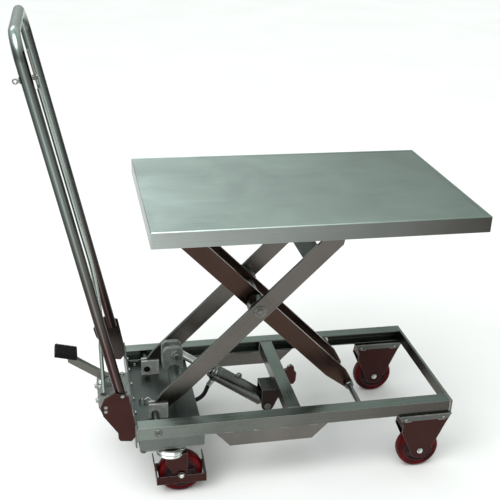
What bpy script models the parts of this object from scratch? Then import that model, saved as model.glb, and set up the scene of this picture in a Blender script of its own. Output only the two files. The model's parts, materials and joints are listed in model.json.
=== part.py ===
"""Foot-pumped stainless scissor lift table on four castors.

Metres, +Z up.  +X points away from the push handle, +Y is the operator's left.
The table stands at about 60 per cent of its travel, deck level, handle upright.
Dimensions are kept in a frame whose x = 0 is the middle of the deck; ROOT moves the
whole table so that the middle of its outer box lies at x = 0.
"""
import math

import bmesh
import bpy
from mathutils import Matrix, Vector

for old in list(bpy.data.objects):
    bpy.data.objects.remove(old, do_unlink=True)

# ---------------------------------------------------------------- driving dimensions
GAP = 0.0003                       # between touching pieces

DECK = (0.700, 0.450, 0.035)       # length, width, height of the skirt
DECK_TOP = 0.655
SHEET = 0.0025

RAIL_Z = (0.149, 0.179)            # base frame channels
RAIL_OUT = 0.1797
RAIL_SIZE = 0.030
RAIL_WALL = 0.003
RAIL_X = (-0.3794, 0.3402)
FLOOR_Z = (0.1447, 0.1487)

ARM_LENGTH = 0.666                 # pivot to pivot
ARM_ANGLE = math.radians(45.28)
ARM_HALF_WIDTH = 0.021
PIVOT = Vector((-0.3335, 0.0, 0.164))          # outer arms on the base
OUTER_Y = (0.0895, 0.0975)
INNER_Y = (0.0443, 0.0523)
ROLLER_RADIUS = 0.0117
STUB_RADIUS = 0.006

CLEVIS = Vector((-0.055, 0.0, 0.1034))         # cylinder foot
ROD_EYE = Vector((-0.2756, 0.0, 0.2602))       # rod on the outer arms
BARREL_LENGTH = 0.167

WHEEL_RADIUS = 0.050
WHEEL_WIDTH = 0.030
WHEEL_Y = 0.163
REAR_WHEEL_X = -0.2848
FRONT_WHEEL_X = 0.2781
SWIVEL_X = -0.306
FORK_Y = (0.0195, 0.0225)                      # fork cheeks, from the wheel's middle
AXLE_RADIUS = 0.006

HANDLE_FOOT = Vector((-0.3993, 0.0, 0.2))      # a point on the legs' centre line
HANDLE_LEAN = math.radians(12.36)
HANDLE_Y = 0.158
HANDLE_RADIUS = 0.011
HANDLE_REACH = (0.050, 0.830)                  # ends and crossbar, along the legs
HANDLE_BEND = 0.048

PEDAL_PIVOT = Vector((-0.430, 0.0, 0.200))
PEDAL_SLOPE = math.radians(36.0)
LEVER_REACH = 0.752                            # the release lever's bolt, along the leg
PUMP_X = (-0.4560, -0.3837)
PUMP_Z = (0.1344, 0.1830)

# the rest follows from these
UNDER_DECK = DECK_TOP - SHEET
ALONG = Vector((math.cos(ARM_ANGLE), 0.0, math.sin(ARM_ANGLE)))
ACROSS = Vector((-math.sin(ARM_ANGLE), 0.0, math.cos(ARM_ANGLE)))
CENTRE = PIVOT + ALONG * ARM_LENGTH / 2
LOWER_AXLE = PIVOT + Vector((ARM_LENGTH * math.cos(ARM_ANGLE), 0.0, 0.0))
DECK_PIVOT = PIVOT + Vector((0.0, 0.0, ARM_LENGTH * math.sin(ARM_ANGLE)))
UPPER_AXLE = PIVOT + ALONG * ARM_LENGTH
STROKE = (ROD_EYE - CLEVIS).normalized()
LEAN = Vector((-math.sin(HANDLE_LEAN), 0.0, math.cos(HANDLE_LEAN)))
LEVER_PIVOT = HANDLE_FOOT + LEAN * LEVER_REACH - Vector((0.0, HANDLE_Y, 0.0))
BACK_OF_HANDLE = HANDLE_FOOT.x + LEAN.x * HANDLE_REACH[1] - HANDLE_RADIUS
SHIFT = -(BACK_OF_HANDLE + DECK[0] / 2) / 2
SIDES = {"left": 1.0, "right": -1.0}

PARTS = bpy.data.collections.new("scissor_lift_table")
CUTTERS = bpy.data.collections.new("cutters")
bpy.context.scene.collection.children.link(PARTS)
bpy.context.scene.collection.children.link(CUTTERS)


# ---------------------------------------------------------------- materials
def material(name, colour, roughness, metallic):
    made = bpy.data.materials.new(name)
    made.use_nodes = True
    shader = made.node_tree.nodes["Principled BSDF"]
    shader.inputs["Base Color"].default_value = (*colour, 1.0)
    shader.inputs["Roughness"].default_value = roughness
    shader.inputs["Metallic"].default_value = metallic
    return made


STEEL = material("stainless_steel", (0.52, 0.54, 0.52), 0.30, 1.0)
DARK_STEEL = material("formed_steel", (0.40, 0.36, 0.34), 0.34, 1.0)
CAST = material("cast_knuckle", (0.62, 0.64, 0.62), 0.45, 0.9)
CHROME = material("chrome", (0.80, 0.80, 0.80), 0.08, 1.0)
RED_TYRE = material("red_polyurethane", (0.42, 0.02, 0.03), 0.42, 0.0)
HUB = material("cast_hub", (0.30, 0.22, 0.20), 0.40, 0.7)
RUBBER = material("black_rubber", (0.02, 0.02, 0.02), 0.70, 0.0)


# ---------------------------------------------------------------- bodies and pieces
def body(name, pivot, parent=None):
    """An empty on a joint's axis; the pieces that move together hang from it."""
    empty = bpy.data.objects.new(name, None)
    empty.empty_display_size = 0.03
    empty["pivot"] = list(pivot)
    empty.location = Vector(pivot) - (Vector(parent["pivot"]) if parent else Vector())
    empty.parent = parent
    PARTS.objects.link(empty)
    return empty


def held(name, bm, holder, collection):
    """An object whose mesh is drawn about its body's pivot."""
    bm.transform(Matrix.Translation(-Vector(holder["pivot"])))
    bmesh.ops.recalc_face_normals(bm, faces=bm.faces)
    if bm.calc_volume(signed=True) < 0:
        bmesh.ops.reverse_faces(bm, faces=bm.faces)
    mesh = bpy.data.meshes.new(name)
    bm.to_mesh(mesh)
    bm.free()
    made = bpy.data.objects.new(name, mesh)
    made.parent = holder
    collection.objects.link(made)
    return made


def piece(name, bm, holder, look, add=(), cut=(), inside=()):
    """One named solid: bm with add united, cut taken away, then inside united."""
    made = held(name, bm, holder, PARTS)
    made.data.materials.append(look)
    for step, operation, shapes in (("add", "UNION", add), ("cut", "DIFFERENCE", cut),
                                    ("inside", "UNION", inside)):
        for number, shape in enumerate(shapes):
            tool = held(f"{name}_{step}_{number}", shape, holder, CUTTERS)
            tool.hide_render = True
            tool.display_type = "WIRE"
            boolean = made.modifiers.new(tool.name, "BOOLEAN")
            boolean.operation = operation
            boolean.object = tool
    made.data.shade_smooth()
    made.data.set_sharp_from_angle(angle=math.radians(35.0))
    return made


# ---------------------------------------------------------------- shapes
def block(x, y, z):
    """A box between the given x, y and z limits."""
    bm = bmesh.new()
    bmesh.ops.create_cube(bm, size=1.0)
    low, high = Vector((x[0], y[0], z[0])), Vector((x[1], y[1], z[1]))
    bmesh.ops.scale(bm, vec=high - low, verts=bm.verts)
    bmesh.ops.translate(bm, vec=(low + high) / 2, verts=bm.verts)
    return bm


def bar(start, end, radius, sides=20):
    """A round bar between two points."""
    start, end = Vector(start), Vector(end)
    bm = bmesh.new()
    turn = Vector((0, 0, 1)).rotation_difference(end - start).to_matrix().to_4x4()
    bmesh.ops.create_cone(bm, cap_ends=True, segments=sides, radius1=radius, radius2=radius,
                          depth=(end - start).length,
                          matrix=Matrix.Translation((start + end) / 2) @ turn)
    return bm


def cross_bar(point, y, radius, sides=20):
    """A round bar along Y through a point."""
    return bar((point.x, y[0], point.z), (point.x, y[1], point.z), radius, sides)


def mesh_of(data, name, modifier=None):
    """The welded bmesh of a curve, or of a profile under a modifier, and nothing left over."""
    holder = bpy.data.objects.new(name, data)
    PARTS.objects.link(holder)
    if modifier:
        modifier(holder)
    evaluated = holder.evaluated_get(bpy.context.evaluated_depsgraph_get())
    mesh = bpy.data.meshes.new_from_object(evaluated)
    bpy.data.objects.remove(holder)
    bm = bmesh.new()
    bm.from_mesh(mesh)
    bpy.data.meshes.remove(mesh)
    bmesh.ops.remove_doubles(bm, verts=bm.verts, dist=1e-6)
    return bm


def slab(loops, span, plane="XZ"):
    """Flat outlines (the first is the edge, the others are holes) pulled out over span."""
    curve = bpy.data.curves.new("outline", "CURVE")
    curve.dimensions = "2D"
    curve.fill_mode = "BOTH"
    curve.extrude = abs(span[1] - span[0]) / 2
    for loop in loops:
        spline = curve.splines.new("POLY")
        spline.points.add(len(loop) - 1)
        for point, (a, b) in zip(spline.points, loop):
            point.co = (a, b, 0.0, 1.0)
        spline.use_cyclic_u = True
    bm = mesh_of(curve, "outline")
    middle = (span[0] + span[1]) / 2
    axes = {"XZ": ((1, 0, 0), (0, 0, 1), (0, 1, 0)),
            "YZ": ((0, 1, 0), (0, 0, 1), (1, 0, 0)),
            "XY": ((1, 0, 0), (0, 1, 0), (0, 0, 1))}[plane]
    bm.transform(Matrix.Translation(Vector(axes[2]) * middle)
                 @ Matrix([*axes]).transposed().to_4x4())
    return bm


def tube(points, radius, resolution=4):
    """A round tube or wire with closed ends along a list of points."""
    curve = bpy.data.curves.new("path", "CURVE")
    curve.dimensions = "3D"
    curve.bevel_depth = radius
    curve.bevel_resolution = resolution
    curve.use_fill_caps = True
    spline = curve.splines.new("POLY")
    spline.points.add(len(points) - 1)
    for point, place in zip(spline.points, points):
        point.co = (*place, 1.0)
    return mesh_of(curve, "path")


def turned(profile, centre, direction=(0, 1, 0), steps=32, ring=False):
    """A profile of (radius, distance along the axis) turned about an axis."""
    mesh = bpy.data.meshes.new("profile")
    edges = [(i, i + 1) for i in range(len(profile) - 1)]
    if ring:
        edges.append((len(profile) - 1, 0))
    mesh.from_pydata([(r, 0.0, h) for r, h in profile], edges, [])

    def screw(holder):
        turn = holder.modifiers.new("turn", "SCREW")
        turn.steps = turn.render_steps = steps
        turn.use_merge_vertices = True
        turn.merge_threshold = 1e-5

    bm = mesh_of(mesh, "profile", screw)
    turn = Vector((0, 0, 1)).rotation_difference(Vector(direction)).to_matrix().to_4x4()
    bm.transform(Matrix.Translation(Vector(centre)) @ turn)
    return bm


def arc(centre, radius, start, end, steps=8):
    """Points on an arc, angles in degrees, counter-clockwise when end > start."""
    angles = (math.radians(start + (end - start) * i / steps) for i in range(steps + 1))
    return [(centre[0] + radius * math.cos(a), centre[1] + radius * math.sin(a)) for a in angles]


def circle(centre, radius, sides=20):
    return arc(centre, radius, 0.0, 360.0 - 360.0 / sides, sides - 1)


def touch(centre, radius, point, side):
    """The angle, in degrees, where a line from point touches a circle, on the given side."""
    dx, dy = point[0] - centre[0], point[1] - centre[1]
    reach = math.hypot(dx, dy)
    return math.degrees(math.atan2(dy, dx) + side * math.acos(radius / reach))


def round_end(before, centre, radius, after, steps=6):
    """Counter-clockwise arc that joins a line from before to a line to after."""
    start = touch(centre, radius, before, 1.0)
    end = touch(centre, radius, after, -1.0)
    while end < start:
        end += 360.0
    return arc(centre, radius, start, end, steps)


def mirrored(y, sign):
    """The span of y on one side, low limit first."""
    return tuple(sorted((y[0] * sign, y[1] * sign)))


# ---------------------------------------------------------------- deck
def deck_frame(table):
    """Tray of folded sheet with the two lugs of its pivot."""
    length, width, height = DECK
    x, y, z = (-length / 2, length / 2), (-width / 2, width / 2), (DECK_TOP - height, DECK_TOP)
    hollow = block((x[0] + SHEET, x[1] - SHEET), (y[0] + SHEET, y[1] - SHEET),
                   (z[0] - 0.01, z[1] - SHEET))
    tray = block(x, y, z)
    edges = [e for e in tray.edges if max(v.co.z for v in e.verts) > DECK_TOP - 1e-4]
    bmesh.ops.bevel(tray, geom=edges, offset=0.002, segments=1, affect="EDGES")
    pivot, top = (DECK_PIVOT.x, DECK_PIVOT.z), UNDER_DECK + 0.001
    corners = ((pivot[0] - 0.016, top), (pivot[0] + 0.016, top))
    outline = [*round_end(corners[0], pivot, 0.012, corners[1]), corners[1], corners[0]]
    lugs = [slab([outline, circle(pivot, 0.0073)], mirrored((0.0545, 0.0605), sign))
            for sign in SIDES.values()]
    piece("deck_plate", tray, table, STEEL, cut=[hollow], inside=lugs)


def deck_tracks(table):
    """Channels under the deck, open inward, in which the upper rollers run."""
    low, high = 0.6222, UNDER_DECK - GAP
    wall, inner, outer = 0.003, 0.1005, 0.128
    section = [(inner, low), (outer, low), (outer, high), (inner, high), (inner, high - wall),
               (outer - wall, high - wall), (outer - wall, low + wall), (inner, low + wall)]
    for side, sign in SIDES.items():
        track = slab([[(y * sign, z) for y, z in section]], (-0.020, 0.345), "YZ")
        piece(f"deck_track_{side}", track, table, STEEL)


def deck_pivot_shaft(table):
    piece("deck_pivot_shaft", cross_bar(DECK_PIVOT, (-0.066, 0.066), 0.007), table, CHROME)


# ---------------------------------------------------------------- base frame
def rails(base):
    """Side channels, open inward, in which the lower rollers run."""
    inner, outer, wall = RAIL_OUT - RAIL_SIZE, RAIL_OUT, RAIL_WALL
    low, high = RAIL_Z
    section = [(inner, low), (outer, low), (outer, high), (inner, high), (inner, high - wall),
               (outer - wall, high - wall), (outer - wall, low + wall), (inner, low + wall)]
    for side, sign in SIDES.items():
        channel = slab([[(y * sign, z) for y, z in section]], RAIL_X, "YZ")
        hole = cross_bar(PIVOT, mirrored((outer - 2 * wall, outer + wall), sign), 0.0083)
        piece(f"rail_{side}", channel, base, STEEL, cut=[hole])


def front_end_bar(base):
    bar_x = (RAIL_X[1] + GAP, RAIL_X[1] + GAP + 0.0065)
    piece("front_end_bar", block(bar_x, (-RAIL_OUT, RAIL_OUT), RAIL_Z), base, STEEL)


def rear_pan(base):
    """Floor at the handle end with folded flanges for the castors and the pump."""
    floor_x = (RAIL_X[0] - GAP - 0.004, -0.2325)
    floor = block(floor_x, (-RAIL_OUT, RAIL_OUT), FLOOR_Z)
    end = block((floor_x[0], RAIL_X[0] - GAP), (-RAIL_OUT, RAIL_OUT), (0.130, 0.188))
    flanges = []
    for sign in SIDES.values():
        for y in ((RAIL_OUT - 0.004, RAIL_OUT), (0.118, 0.122)):
            flanges.append(block((-0.3747, floor_x[1]), mirrored(y, sign), (0.122, 0.146)))
    piece("rear_pan", floor, base, STEEL, add=[end, *flanges])


def cross_member(base):
    """Square tube between the rails, with the lug that stops the lower axle at full height."""
    low, high = RAIL_Z
    x0, x1, wall, reach = -0.039, -0.009, 0.0025, RAIL_OUT - RAIL_SIZE - GAP
    outline = [(x0, low), (x1, low), (x1, high), (x0, high)]
    hollow = [(x0 + wall, low + wall), (x1 - wall, low + wall), (x1 - wall, high - wall),
              (x0 + wall, high - wall)]
    lug = slab([[(x1 - 0.001, 0.136), (0.016, 0.136), (0.0215, 0.145), (0.0225, 0.167),
                 (0.0165, 0.173), *arc((0.0077, 0.180), 0.0085, 0.0, 180.0), (x1 - 0.001, 0.176)]],
               (0.008, 0.016))
    piece("cross_member", slab([outline, hollow], (-reach, reach)), base, STEEL, add=[lug])


def side_gussets(base):
    """Pressed stiffeners under the rails, half way along."""
    top, bottom = RAIL_Z[0] - GAP, 0.112
    outline = [(-0.1755, bottom), (0.0136, bottom), (0.049, top), (-0.208, top)]
    for side, sign in SIDES.items():
        stiffener = slab([outline], mirrored((RAIL_OUT - RAIL_SIZE, RAIL_OUT), sign))
        piece(f"side_gusset_{side}", stiffener, base, STEEL)


def pivot_blocks(base):
    """Forked blocks on the floor, each with the pin of an outer arm."""
    x, low, high = (-0.346, -0.304), RAIL_Z[0], 0.1855
    inner, outer = (0.0845, OUTER_Y[0] - GAP), (OUTER_Y[1] + GAP, 0.1025)
    section = [(inner[0], low), (outer[1], low), (outer[1], high), (outer[0], high),
               (outer[0], low + 0.0022), (inner[1], low + 0.0022), (inner[1], high), (inner[0], high)]
    for side, sign in SIDES.items():
        fork = slab([[(y * sign, z) for y, z in section]], x, "YZ")
        pin = cross_bar(PIVOT, mirrored((inner[0] - 0.0015, RAIL_OUT + 0.0005), sign), 0.008)
        piece(f"pivot_block_{side}", fork, base, CAST, add=[pin])


def cylinder_clevis(base):
    """Cheeks under the cross member with the pin of the cylinder's foot."""
    top = RAIL_Z[0] - GAP
    plate = block((-0.070, -0.012), (-0.0275, 0.0275), (top - 0.004, top))
    eye = (CLEVIS.x, CLEVIS.z)
    corners = ((-0.070, top - 0.002), (-0.020, top - 0.002))
    outline = [*round_end(corners[0], eye, 0.015, corners[1]), corners[1], corners[0]]
    cheeks = [slab([outline], mirrored((0.0225, 0.0275), sign)) for sign in SIDES.values()]
    pin = cross_bar(CLEVIS, (-0.0305, 0.0305), 0.007)
    piece("cylinder_clevis", plate, base, DARK_STEEL, add=[*cheeks, pin])


# ---------------------------------------------------------------- arms
def on_arm(points, sign):
    """(along, across) points from the middle pivot to (x, z); sign -1 is the inner arm."""
    placed = []
    for along, across in points:
        x = CENTRE.x + sign * (along * ALONG.x + across * ACROSS.x)
        z = CENTRE.z + along * ALONG.z + across * ACROSS.z
        placed.append((x, z))
    return placed


def outer_arm_outline():
    half, width = ARM_LENGTH / 2, ARM_HALF_WIDTH
    foot, head = (-half, 0.0), (half, 0.0)
    foot_low, foot_high = (-half + 0.080, -width), (-half + 0.045, width)
    head_low, head_high = (0.2473, -0.011), (half - 0.060, width)
    return [*round_end(foot_high, foot, 0.0125, foot_low), foot_low, (0.233, -width), head_low,
            *round_end(head_low, head, 0.012, head_high), head_high, foot_high]


def inner_arm_outline():
    half, width = ARM_LENGTH / 2, ARM_HALF_WIDTH
    foot, head = (-half, 0.0), (half, 0.0)
    foot_low, foot_high = (-half + 0.060, -width), (-half + 0.031, width)
    head_low, head_high = (half - 0.035, -width), (half - 0.060, width)
    return [*round_end(foot_high, foot, ROLLER_RADIUS, foot_low), foot_low, head_low,
            *round_end(head_low, head, 0.014, head_high), head_high, foot_high]


def outer_arms(holder):
    outline = on_arm(outer_arm_outline(), 1.0)
    holes = [circle((PIVOT.x, PIVOT.z), 0.0083), circle((CENTRE.x, CENTRE.z), 0.0103),
             circle((UPPER_AXLE.x, UPPER_AXLE.z), STUB_RADIUS + GAP)]
    for side, sign in SIDES.items():
        arm = slab([outline, *holes], mirrored(OUTER_Y, sign))
        piece(f"outer_arm_{side}", arm, holder, STEEL)


def outer_cross_plate(holder):
    """Flat strip across the top edges of the outer arms."""
    low, high = ARM_HALF_WIDTH + GAP, ARM_HALF_WIDTH + GAP + 0.004
    outline = on_arm([(0.150, low), (0.193, low), (0.193, high), (0.150, high)], 1.0)
    piece("outer_cross_plate", slab([outline], (-OUTER_Y[1], OUTER_Y[1])), holder, STEEL)


def lift_cross_tube(holder):
    """Round bar between the outer arms that the cylinder pushes on."""
    reach = OUTER_Y[0] - GAP
    tube_centre = PIVOT + ALONG * 0.076
    piece("lift_cross_tube", cross_bar(tube_centre, (-reach, reach), 0.015, 28), holder, STEEL)


def lift_knuckle(holder):
    """Cast saddle over the round bar; its two cheeks take the rod's eye between them."""
    tube_centre = PIVOT + ALONG * 0.076
    seat = (tube_centre.x, tube_centre.z)
    left, right, top, foot = -0.3057, -0.2594, 0.2790, 0.2245
    outline = [(left, foot), (seat[0] - 0.0192, foot),
               *reversed(arc(seat, 0.0153 + 0.0004, 20.0, 160.0, 10)),
               (seat[0] + 0.0185, foot), (right, foot), *arc((right - 0.012, top - 0.012), 0.012, 0, 90, 4),
               *arc((left + 0.012, top - 0.012), 0.012, 90, 180, 4)]
    saddle = slab([outline], (-0.020, 0.020))
    floor, beyond = ROD_EYE.z - 0.0167, 0.010
    slot = slab([[(left - beyond, floor), (ROD_EYE.x - 0.001, floor), (right + beyond, floor - 0.0310),
                  (right + beyond, top + beyond), (left - beyond, top + beyond)]], (-0.0098, 0.0098))
    heads = [cross_bar(ROD_EYE, mirrored((0.0190, 0.0245), sign), 0.0105) for sign in SIDES.values()]
    piece("lift_knuckle", saddle, holder, CAST, add=heads, cut=[slot])


def upper_axle(holder):
    piece("upper_axle", cross_bar(UPPER_AXLE, (-0.1185, 0.1185), STUB_RADIUS), holder, CHROME)


def inner_arms(holder):
    outline = on_arm(inner_arm_outline(), -1.0)
    holes = [circle((DECK_PIVOT.x, DECK_PIVOT.z), 0.0073), circle((CENTRE.x, CENTRE.z), 0.0123),
             circle((LOWER_AXLE.x, LOWER_AXLE.z), STUB_RADIUS + GAP)]
    for side, sign in SIDES.items():
        arm = slab([outline, *holes], mirrored(INNER_Y, sign))
        piece(f"inner_arm_{side}", arm, holder, DARK_STEEL)


def centre_tube(holder):
    """Turned tube through the inner arms; its ends are the pins of the outer arms."""
    steps = [(0.014, INNER_Y[0] - GAP), (0.012, INNER_Y[1] + GAP), (0.024, OUTER_Y[0] - GAP),
             (0.010, 0.1040)]
    half = [(0.014, 0.0)]
    for radius, reach in steps:
        half += [(radius, half[-1][1]), (radius, reach)]
    half = [*half[2:], (0.0, steps[-1][1])]
    profile = [(r, -h) for r, h in reversed(half)] + half
    piece("centre_tube", turned(profile, CENTRE, steps=20), holder, STEEL)


def lower_axle(holder):
    piece("lower_axle", cross_bar(LOWER_AXLE, (-0.1745, 0.1745), STUB_RADIUS), holder, CHROME)


def roller(name, centre, y, holder):
    width, bore = abs(y[1] - y[0]) / 2, STUB_RADIUS + GAP
    profile = [(bore, width), (ROLLER_RADIUS, width), (ROLLER_RADIUS, -width), (bore, -width)]
    middle = (centre.x, (y[0] + y[1]) / 2, centre.z)
    piece(name, turned(profile, middle, steps=20, ring=True), holder, CHROME)


# ---------------------------------------------------------------- cylinder
def cylinder_barrel(holder):
    """Turned barrel with a bore for the rod and the eye of its foot."""
    length, radius, bore = BARREL_LENGTH, 0.019, 0.0093
    profile = [(0.0, 0.012), (0.016, 0.012), (radius, 0.017), (radius, length - 0.008),
               (0.0165, length - 0.006), (0.0165, length), (bore, length), (bore, 0.034), (0.0, 0.034)]
    barrel = turned(profile, CLEVIS, STROKE, steps=20)
    eye = cross_bar(CLEVIS, (-0.0222, 0.0222), 0.014, 20)
    hole = cross_bar(CLEVIS, (-0.03, 0.03), 0.0073)
    piece("cylinder_barrel", barrel, holder, STEEL, add=[eye], cut=[hole])


def piston_rod(holder):
    shaft = bar(ROD_EYE - STROKE * 0.160, ROD_EYE - STROKE * 0.004, 0.009, 20)
    eye = cross_bar(ROD_EYE, (-0.0092, 0.0092), 0.013, 20)
    piece("piston_rod", shaft, holder, CHROME, add=[eye])


def hydraulic_hose(base):
    """Pressure hose from the pump, under the floor, up to the port of the barrel."""
    side = STROKE.cross(Vector((0, 1, 0)))
    port = CLEVIS + STROKE * 0.147
    if side.z > 0:
        side.negate()
    end = port + side * 0.0206
    route = [Vector((-0.402, -0.020, 0.1336)), Vector((-0.400, -0.020, 0.1240)),
             Vector((-0.385, -0.021, 0.1180)), Vector((-0.350, -0.025, 0.1230)),
             Vector((-0.300, -0.030, 0.1320)),
             Vector((-0.262, -0.031, 0.1350)), Vector((-0.234, -0.030, 0.1385)),
             Vector((-0.212, -0.024, 0.1480)), port + side * 0.036, end]
    piece("hydraulic_hose", tube(smooth_path(route, 3), 0.005, 2), base, RUBBER)


def smooth_path(route, between):
    """Catmull-Rom curve through the route's points."""
    ends = [route[0] * 2 - route[1], *route, route[-1] * 2 - route[-2]]
    path = []
    for a, b, c, d in zip(ends, ends[1:], ends[2:], ends[3:]):
        for i in range(between):
            t = i / between
            path.append(0.5 * (2 * b + (c - a) * t + (2 * a - 5 * b + 4 * c - d) * t ** 2
                               + (3 * b - a - 3 * c + d) * t ** 3))
    return [*path, route[-1]]


# ---------------------------------------------------------------- handle and pump
def on_leg(distance, y, forward=0.0):
    """A point beside a handle leg: distance up its line, at y, and forward of it."""
    front = Vector((LEAN.z, 0.0, -LEAN.x))
    return HANDLE_FOOT + LEAN * distance + front * forward + Vector((0.0, y, 0.0))


def handle_tube(base):
    """U of bent tube."""
    start, top, bend = HANDLE_REACH[0], HANDLE_REACH[1], HANDLE_BEND
    flat = [(-HANDLE_Y, start), *reversed(arc((bend - HANDLE_Y, top - bend), bend, 90.0, 180.0, 6)),
            *reversed(arc((HANDLE_Y - bend, top - bend), bend, 0.0, 90.0, 6)), (HANDLE_Y, start)]
    piece("handle_tube", tube([on_leg(s, y) for y, s in flat], HANDLE_RADIUS), base, STEEL)


def handle_brackets(base):
    """Side plates that carry the handle behind the floor."""
    outline = [(-0.3837, 0.1546), (-0.3837, 0.1950), (-0.3955, 0.2600), (-0.4250, 0.2715),
               (-0.4471, 0.2572), (-0.4560, 0.2370), (-0.4500, 0.2145), (-0.4203, 0.1690),
               (-0.4196, 0.1546), (-0.4155, 0.1476), (-0.3909, 0.1447)]
    inner = HANDLE_Y + HANDLE_RADIUS + GAP
    for side, sign in SIDES.items():
        plate = slab([outline], mirrored((inner, inner + 0.004), sign))
        piece(f"handle_bracket_{side}", plate, base, DARK_STEEL)


def pump_body(base):
    """Cast foot pump with the two cheeks of its pedal."""
    (x0, x1), (z0, z1) = PUMP_X, PUMP_Z
    outline = [(x0 + 0.008, z0), (x1, z0), (x1, z1), (x0 + 0.010, z1), (x0, z1 - 0.010),
               (x0, z0 + 0.018)]
    casting = slab([outline], (-0.046, 0.046))
    eye = (PEDAL_PIVOT.x, PEDAL_PIVOT.z)
    corners = ((eye[0] - 0.012, z1 - 0.004), (eye[0] + 0.016, z1 - 0.004))
    outline = [corners[0], corners[1], *round_end(corners[1], eye, 0.0085, corners[0])]
    cheeks = [slab([outline], mirrored((0.0083, 0.0133), sign)) for sign in SIDES.values()]
    pin = cross_bar(PEDAL_PIVOT, (-0.0150, 0.0150), 0.0045, 16)
    bore = bar((-0.447, 0.0, z1 - 0.018), (-0.447, 0.0, z1 + 0.01), 0.0058)
    piece("pump_body", casting, base, CAST, add=[*cheeks, pin], cut=[bore])


def pump_plunger(holder):
    plunger = bar((-0.447, 0.0, PUMP_Z[1] - 0.008), (-0.447, 0.0, 0.1978), 0.0055, 20)
    piece("pump_plunger", plunger, holder, CHROME)


def pedal_arm(holder):
    """Flat bar from the pump up to the tread."""
    run = Vector((-math.cos(PEDAL_SLOPE), 0.0, math.sin(PEDAL_SLOPE)))
    rise = Vector((math.sin(PEDAL_SLOPE), 0.0, math.cos(PEDAL_SLOPE)))
    local = [*arc((0.0, 0.0), 0.008, 90.0, 270.0), (0.104, -0.008), (0.112, 0.0015), (0.098, 0.008)]
    corners = [PEDAL_PIVOT + run * a + rise * b for a, b in local]
    outline = [(c.x, c.z) for c in corners]
    hole = circle((PEDAL_PIVOT.x, PEDAL_PIVOT.z), 0.0048, 16)
    piece("pedal_arm", slab([outline, hole], (-0.0080, 0.0080)), holder, STEEL)


def pedal_pad(holder):
    """Ribbed rubber tread."""
    pad = block((0.0, 0.050), (-0.0225, 0.0225), (-0.012, 0.0))
    bmesh.ops.bevel(pad, geom=pad.edges[:], offset=0.002, segments=1, affect="EDGES")
    pad.transform(Matrix.Translation((-0.5450, 0.0, 0.2905)) @ Matrix.Rotation(math.radians(14.0), 4, "Y"))
    piece("pedal_pad", pad, holder, RUBBER)


def release_lever(holder):
    """Small hand lever on the front of the right leg; it turns on a bolt through the leg."""
    pivot, front = LEVER_PIVOT, on_leg(0.0, 0.0, 1.0) - HANDLE_FOOT
    outline = [(-0.006, 0.050), (-0.007, 0.004), (-0.006, -0.012), (0.006, -0.016), (0.016, -0.012),
               (0.016, -0.004), (0.007, 0.002), (0.006, 0.050)]
    lever = slab([outline], (0.0150, 0.0180), "XY")
    face = Matrix([(0.0, 1.0, 0.0), LEAN, front]).transposed().to_4x4()
    lever.transform(Matrix.Translation(pivot) @ face)
    boss = bar(pivot + front * (HANDLE_RADIUS + 0.0006), pivot + front * 0.0215, 0.005, 16)
    piece("release_lever", lever, holder, STEEL, add=[boss])


def release_rod(holder):
    """Bent rod from the hand lever down to the pump's valve."""
    route = [on_leg(0.728, -0.1450, 0.0165), on_leg(0.600, -0.1450, 0.0165),
             on_leg(0.450, -0.1450, 0.0165), on_leg(0.340, -0.1380, 0.0150),
             Vector((-0.4430, -0.1020, 0.3950)), Vector((-0.4465, -0.0720, 0.3350)),
             Vector((-0.4455, -0.0480, 0.2900)), Vector((-0.4440, -0.0410, 0.2400)),
             Vector((-0.4430, -0.0400, 0.1905))]
    piece("release_rod", tube(smooth_path(route, 3), 0.0045, 2), holder, STEEL)


# ---------------------------------------------------------------- castors
def castor_plates(base):
    for side, sign in SIDES.items():
        plate = block((-0.3747, -0.274), mirrored((0.118, RAIL_OUT), sign), (0.1180, 0.1217))
        piece(f"rear_castor_plate_{side}", plate, base, STEEL)


def fork_cheek(before, after, extra, wheel, radius, y):
    """A cheek with a round foot about the axle and a hole for it."""
    centre = (wheel.x, wheel.z)
    outline = [*extra, *round_end(before, centre, radius, after)]
    return slab([outline, circle(centre, AXLE_RADIUS + GAP, 16)], y)


def rear_fork(side, sign, holder, wheel):
    """Swivel fork: crown disc, swivel head and two cheeks that trail behind the axis."""
    middle = WHEEL_Y * sign
    top = 0.1077
    profile = [(0.0, 0.1035), (0.030, 0.1035), (0.030, top), (0.024, top), (0.024, 0.1177), (0.0, 0.1177)]
    head = turned(profile, (SWIVEL_X, middle, 0.0), (0, 0, 1), steps=20)
    before, after = (-0.319, 0.083), (-0.270, 0.080)
    cheeks = [fork_cheek(before, after, [after, (-0.270, top), (-0.319, top), before], wheel, 0.0125,
                         mirrored_about(FORK_Y, middle, s)) for s in (1.0, -1.0)]
    bridge = block((SWIVEL_X, -0.272), (middle - FORK_Y[1], middle + FORK_Y[1]), (0.1035, top))
    piece(f"rear_fork_{side}", head, holder, DARK_STEEL, add=[*cheeks, bridge])


def mirrored_about(y, middle, sign):
    return tuple(sorted((middle + y[0] * sign, middle + y[1] * sign)))


def front_fork(side, sign, base, wheel):
    """Rigid fork: pressed box under the rail that narrows to the axle."""
    middle, top = WHEEL_Y * sign, RAIL_Z[0] - GAP
    plate = block((0.2185, 0.346), (middle - FORK_Y[1], middle + FORK_Y[1]), (top - 0.004, top))
    before, after = (0.228, 0.1056), (0.3156, 0.0773)
    extra = [after, (0.335, 0.1245), (0.346, top - 0.001), (0.2185, top - 0.001), (0.2306, 0.1245), before]
    cheeks = [fork_cheek(before, after, extra, wheel, 0.022, mirrored_about(FORK_Y, middle, s))
              for s in (1.0, -1.0)]
    piece(f"front_fork_{side}", plate, base, DARK_STEEL, add=cheeks)


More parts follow.
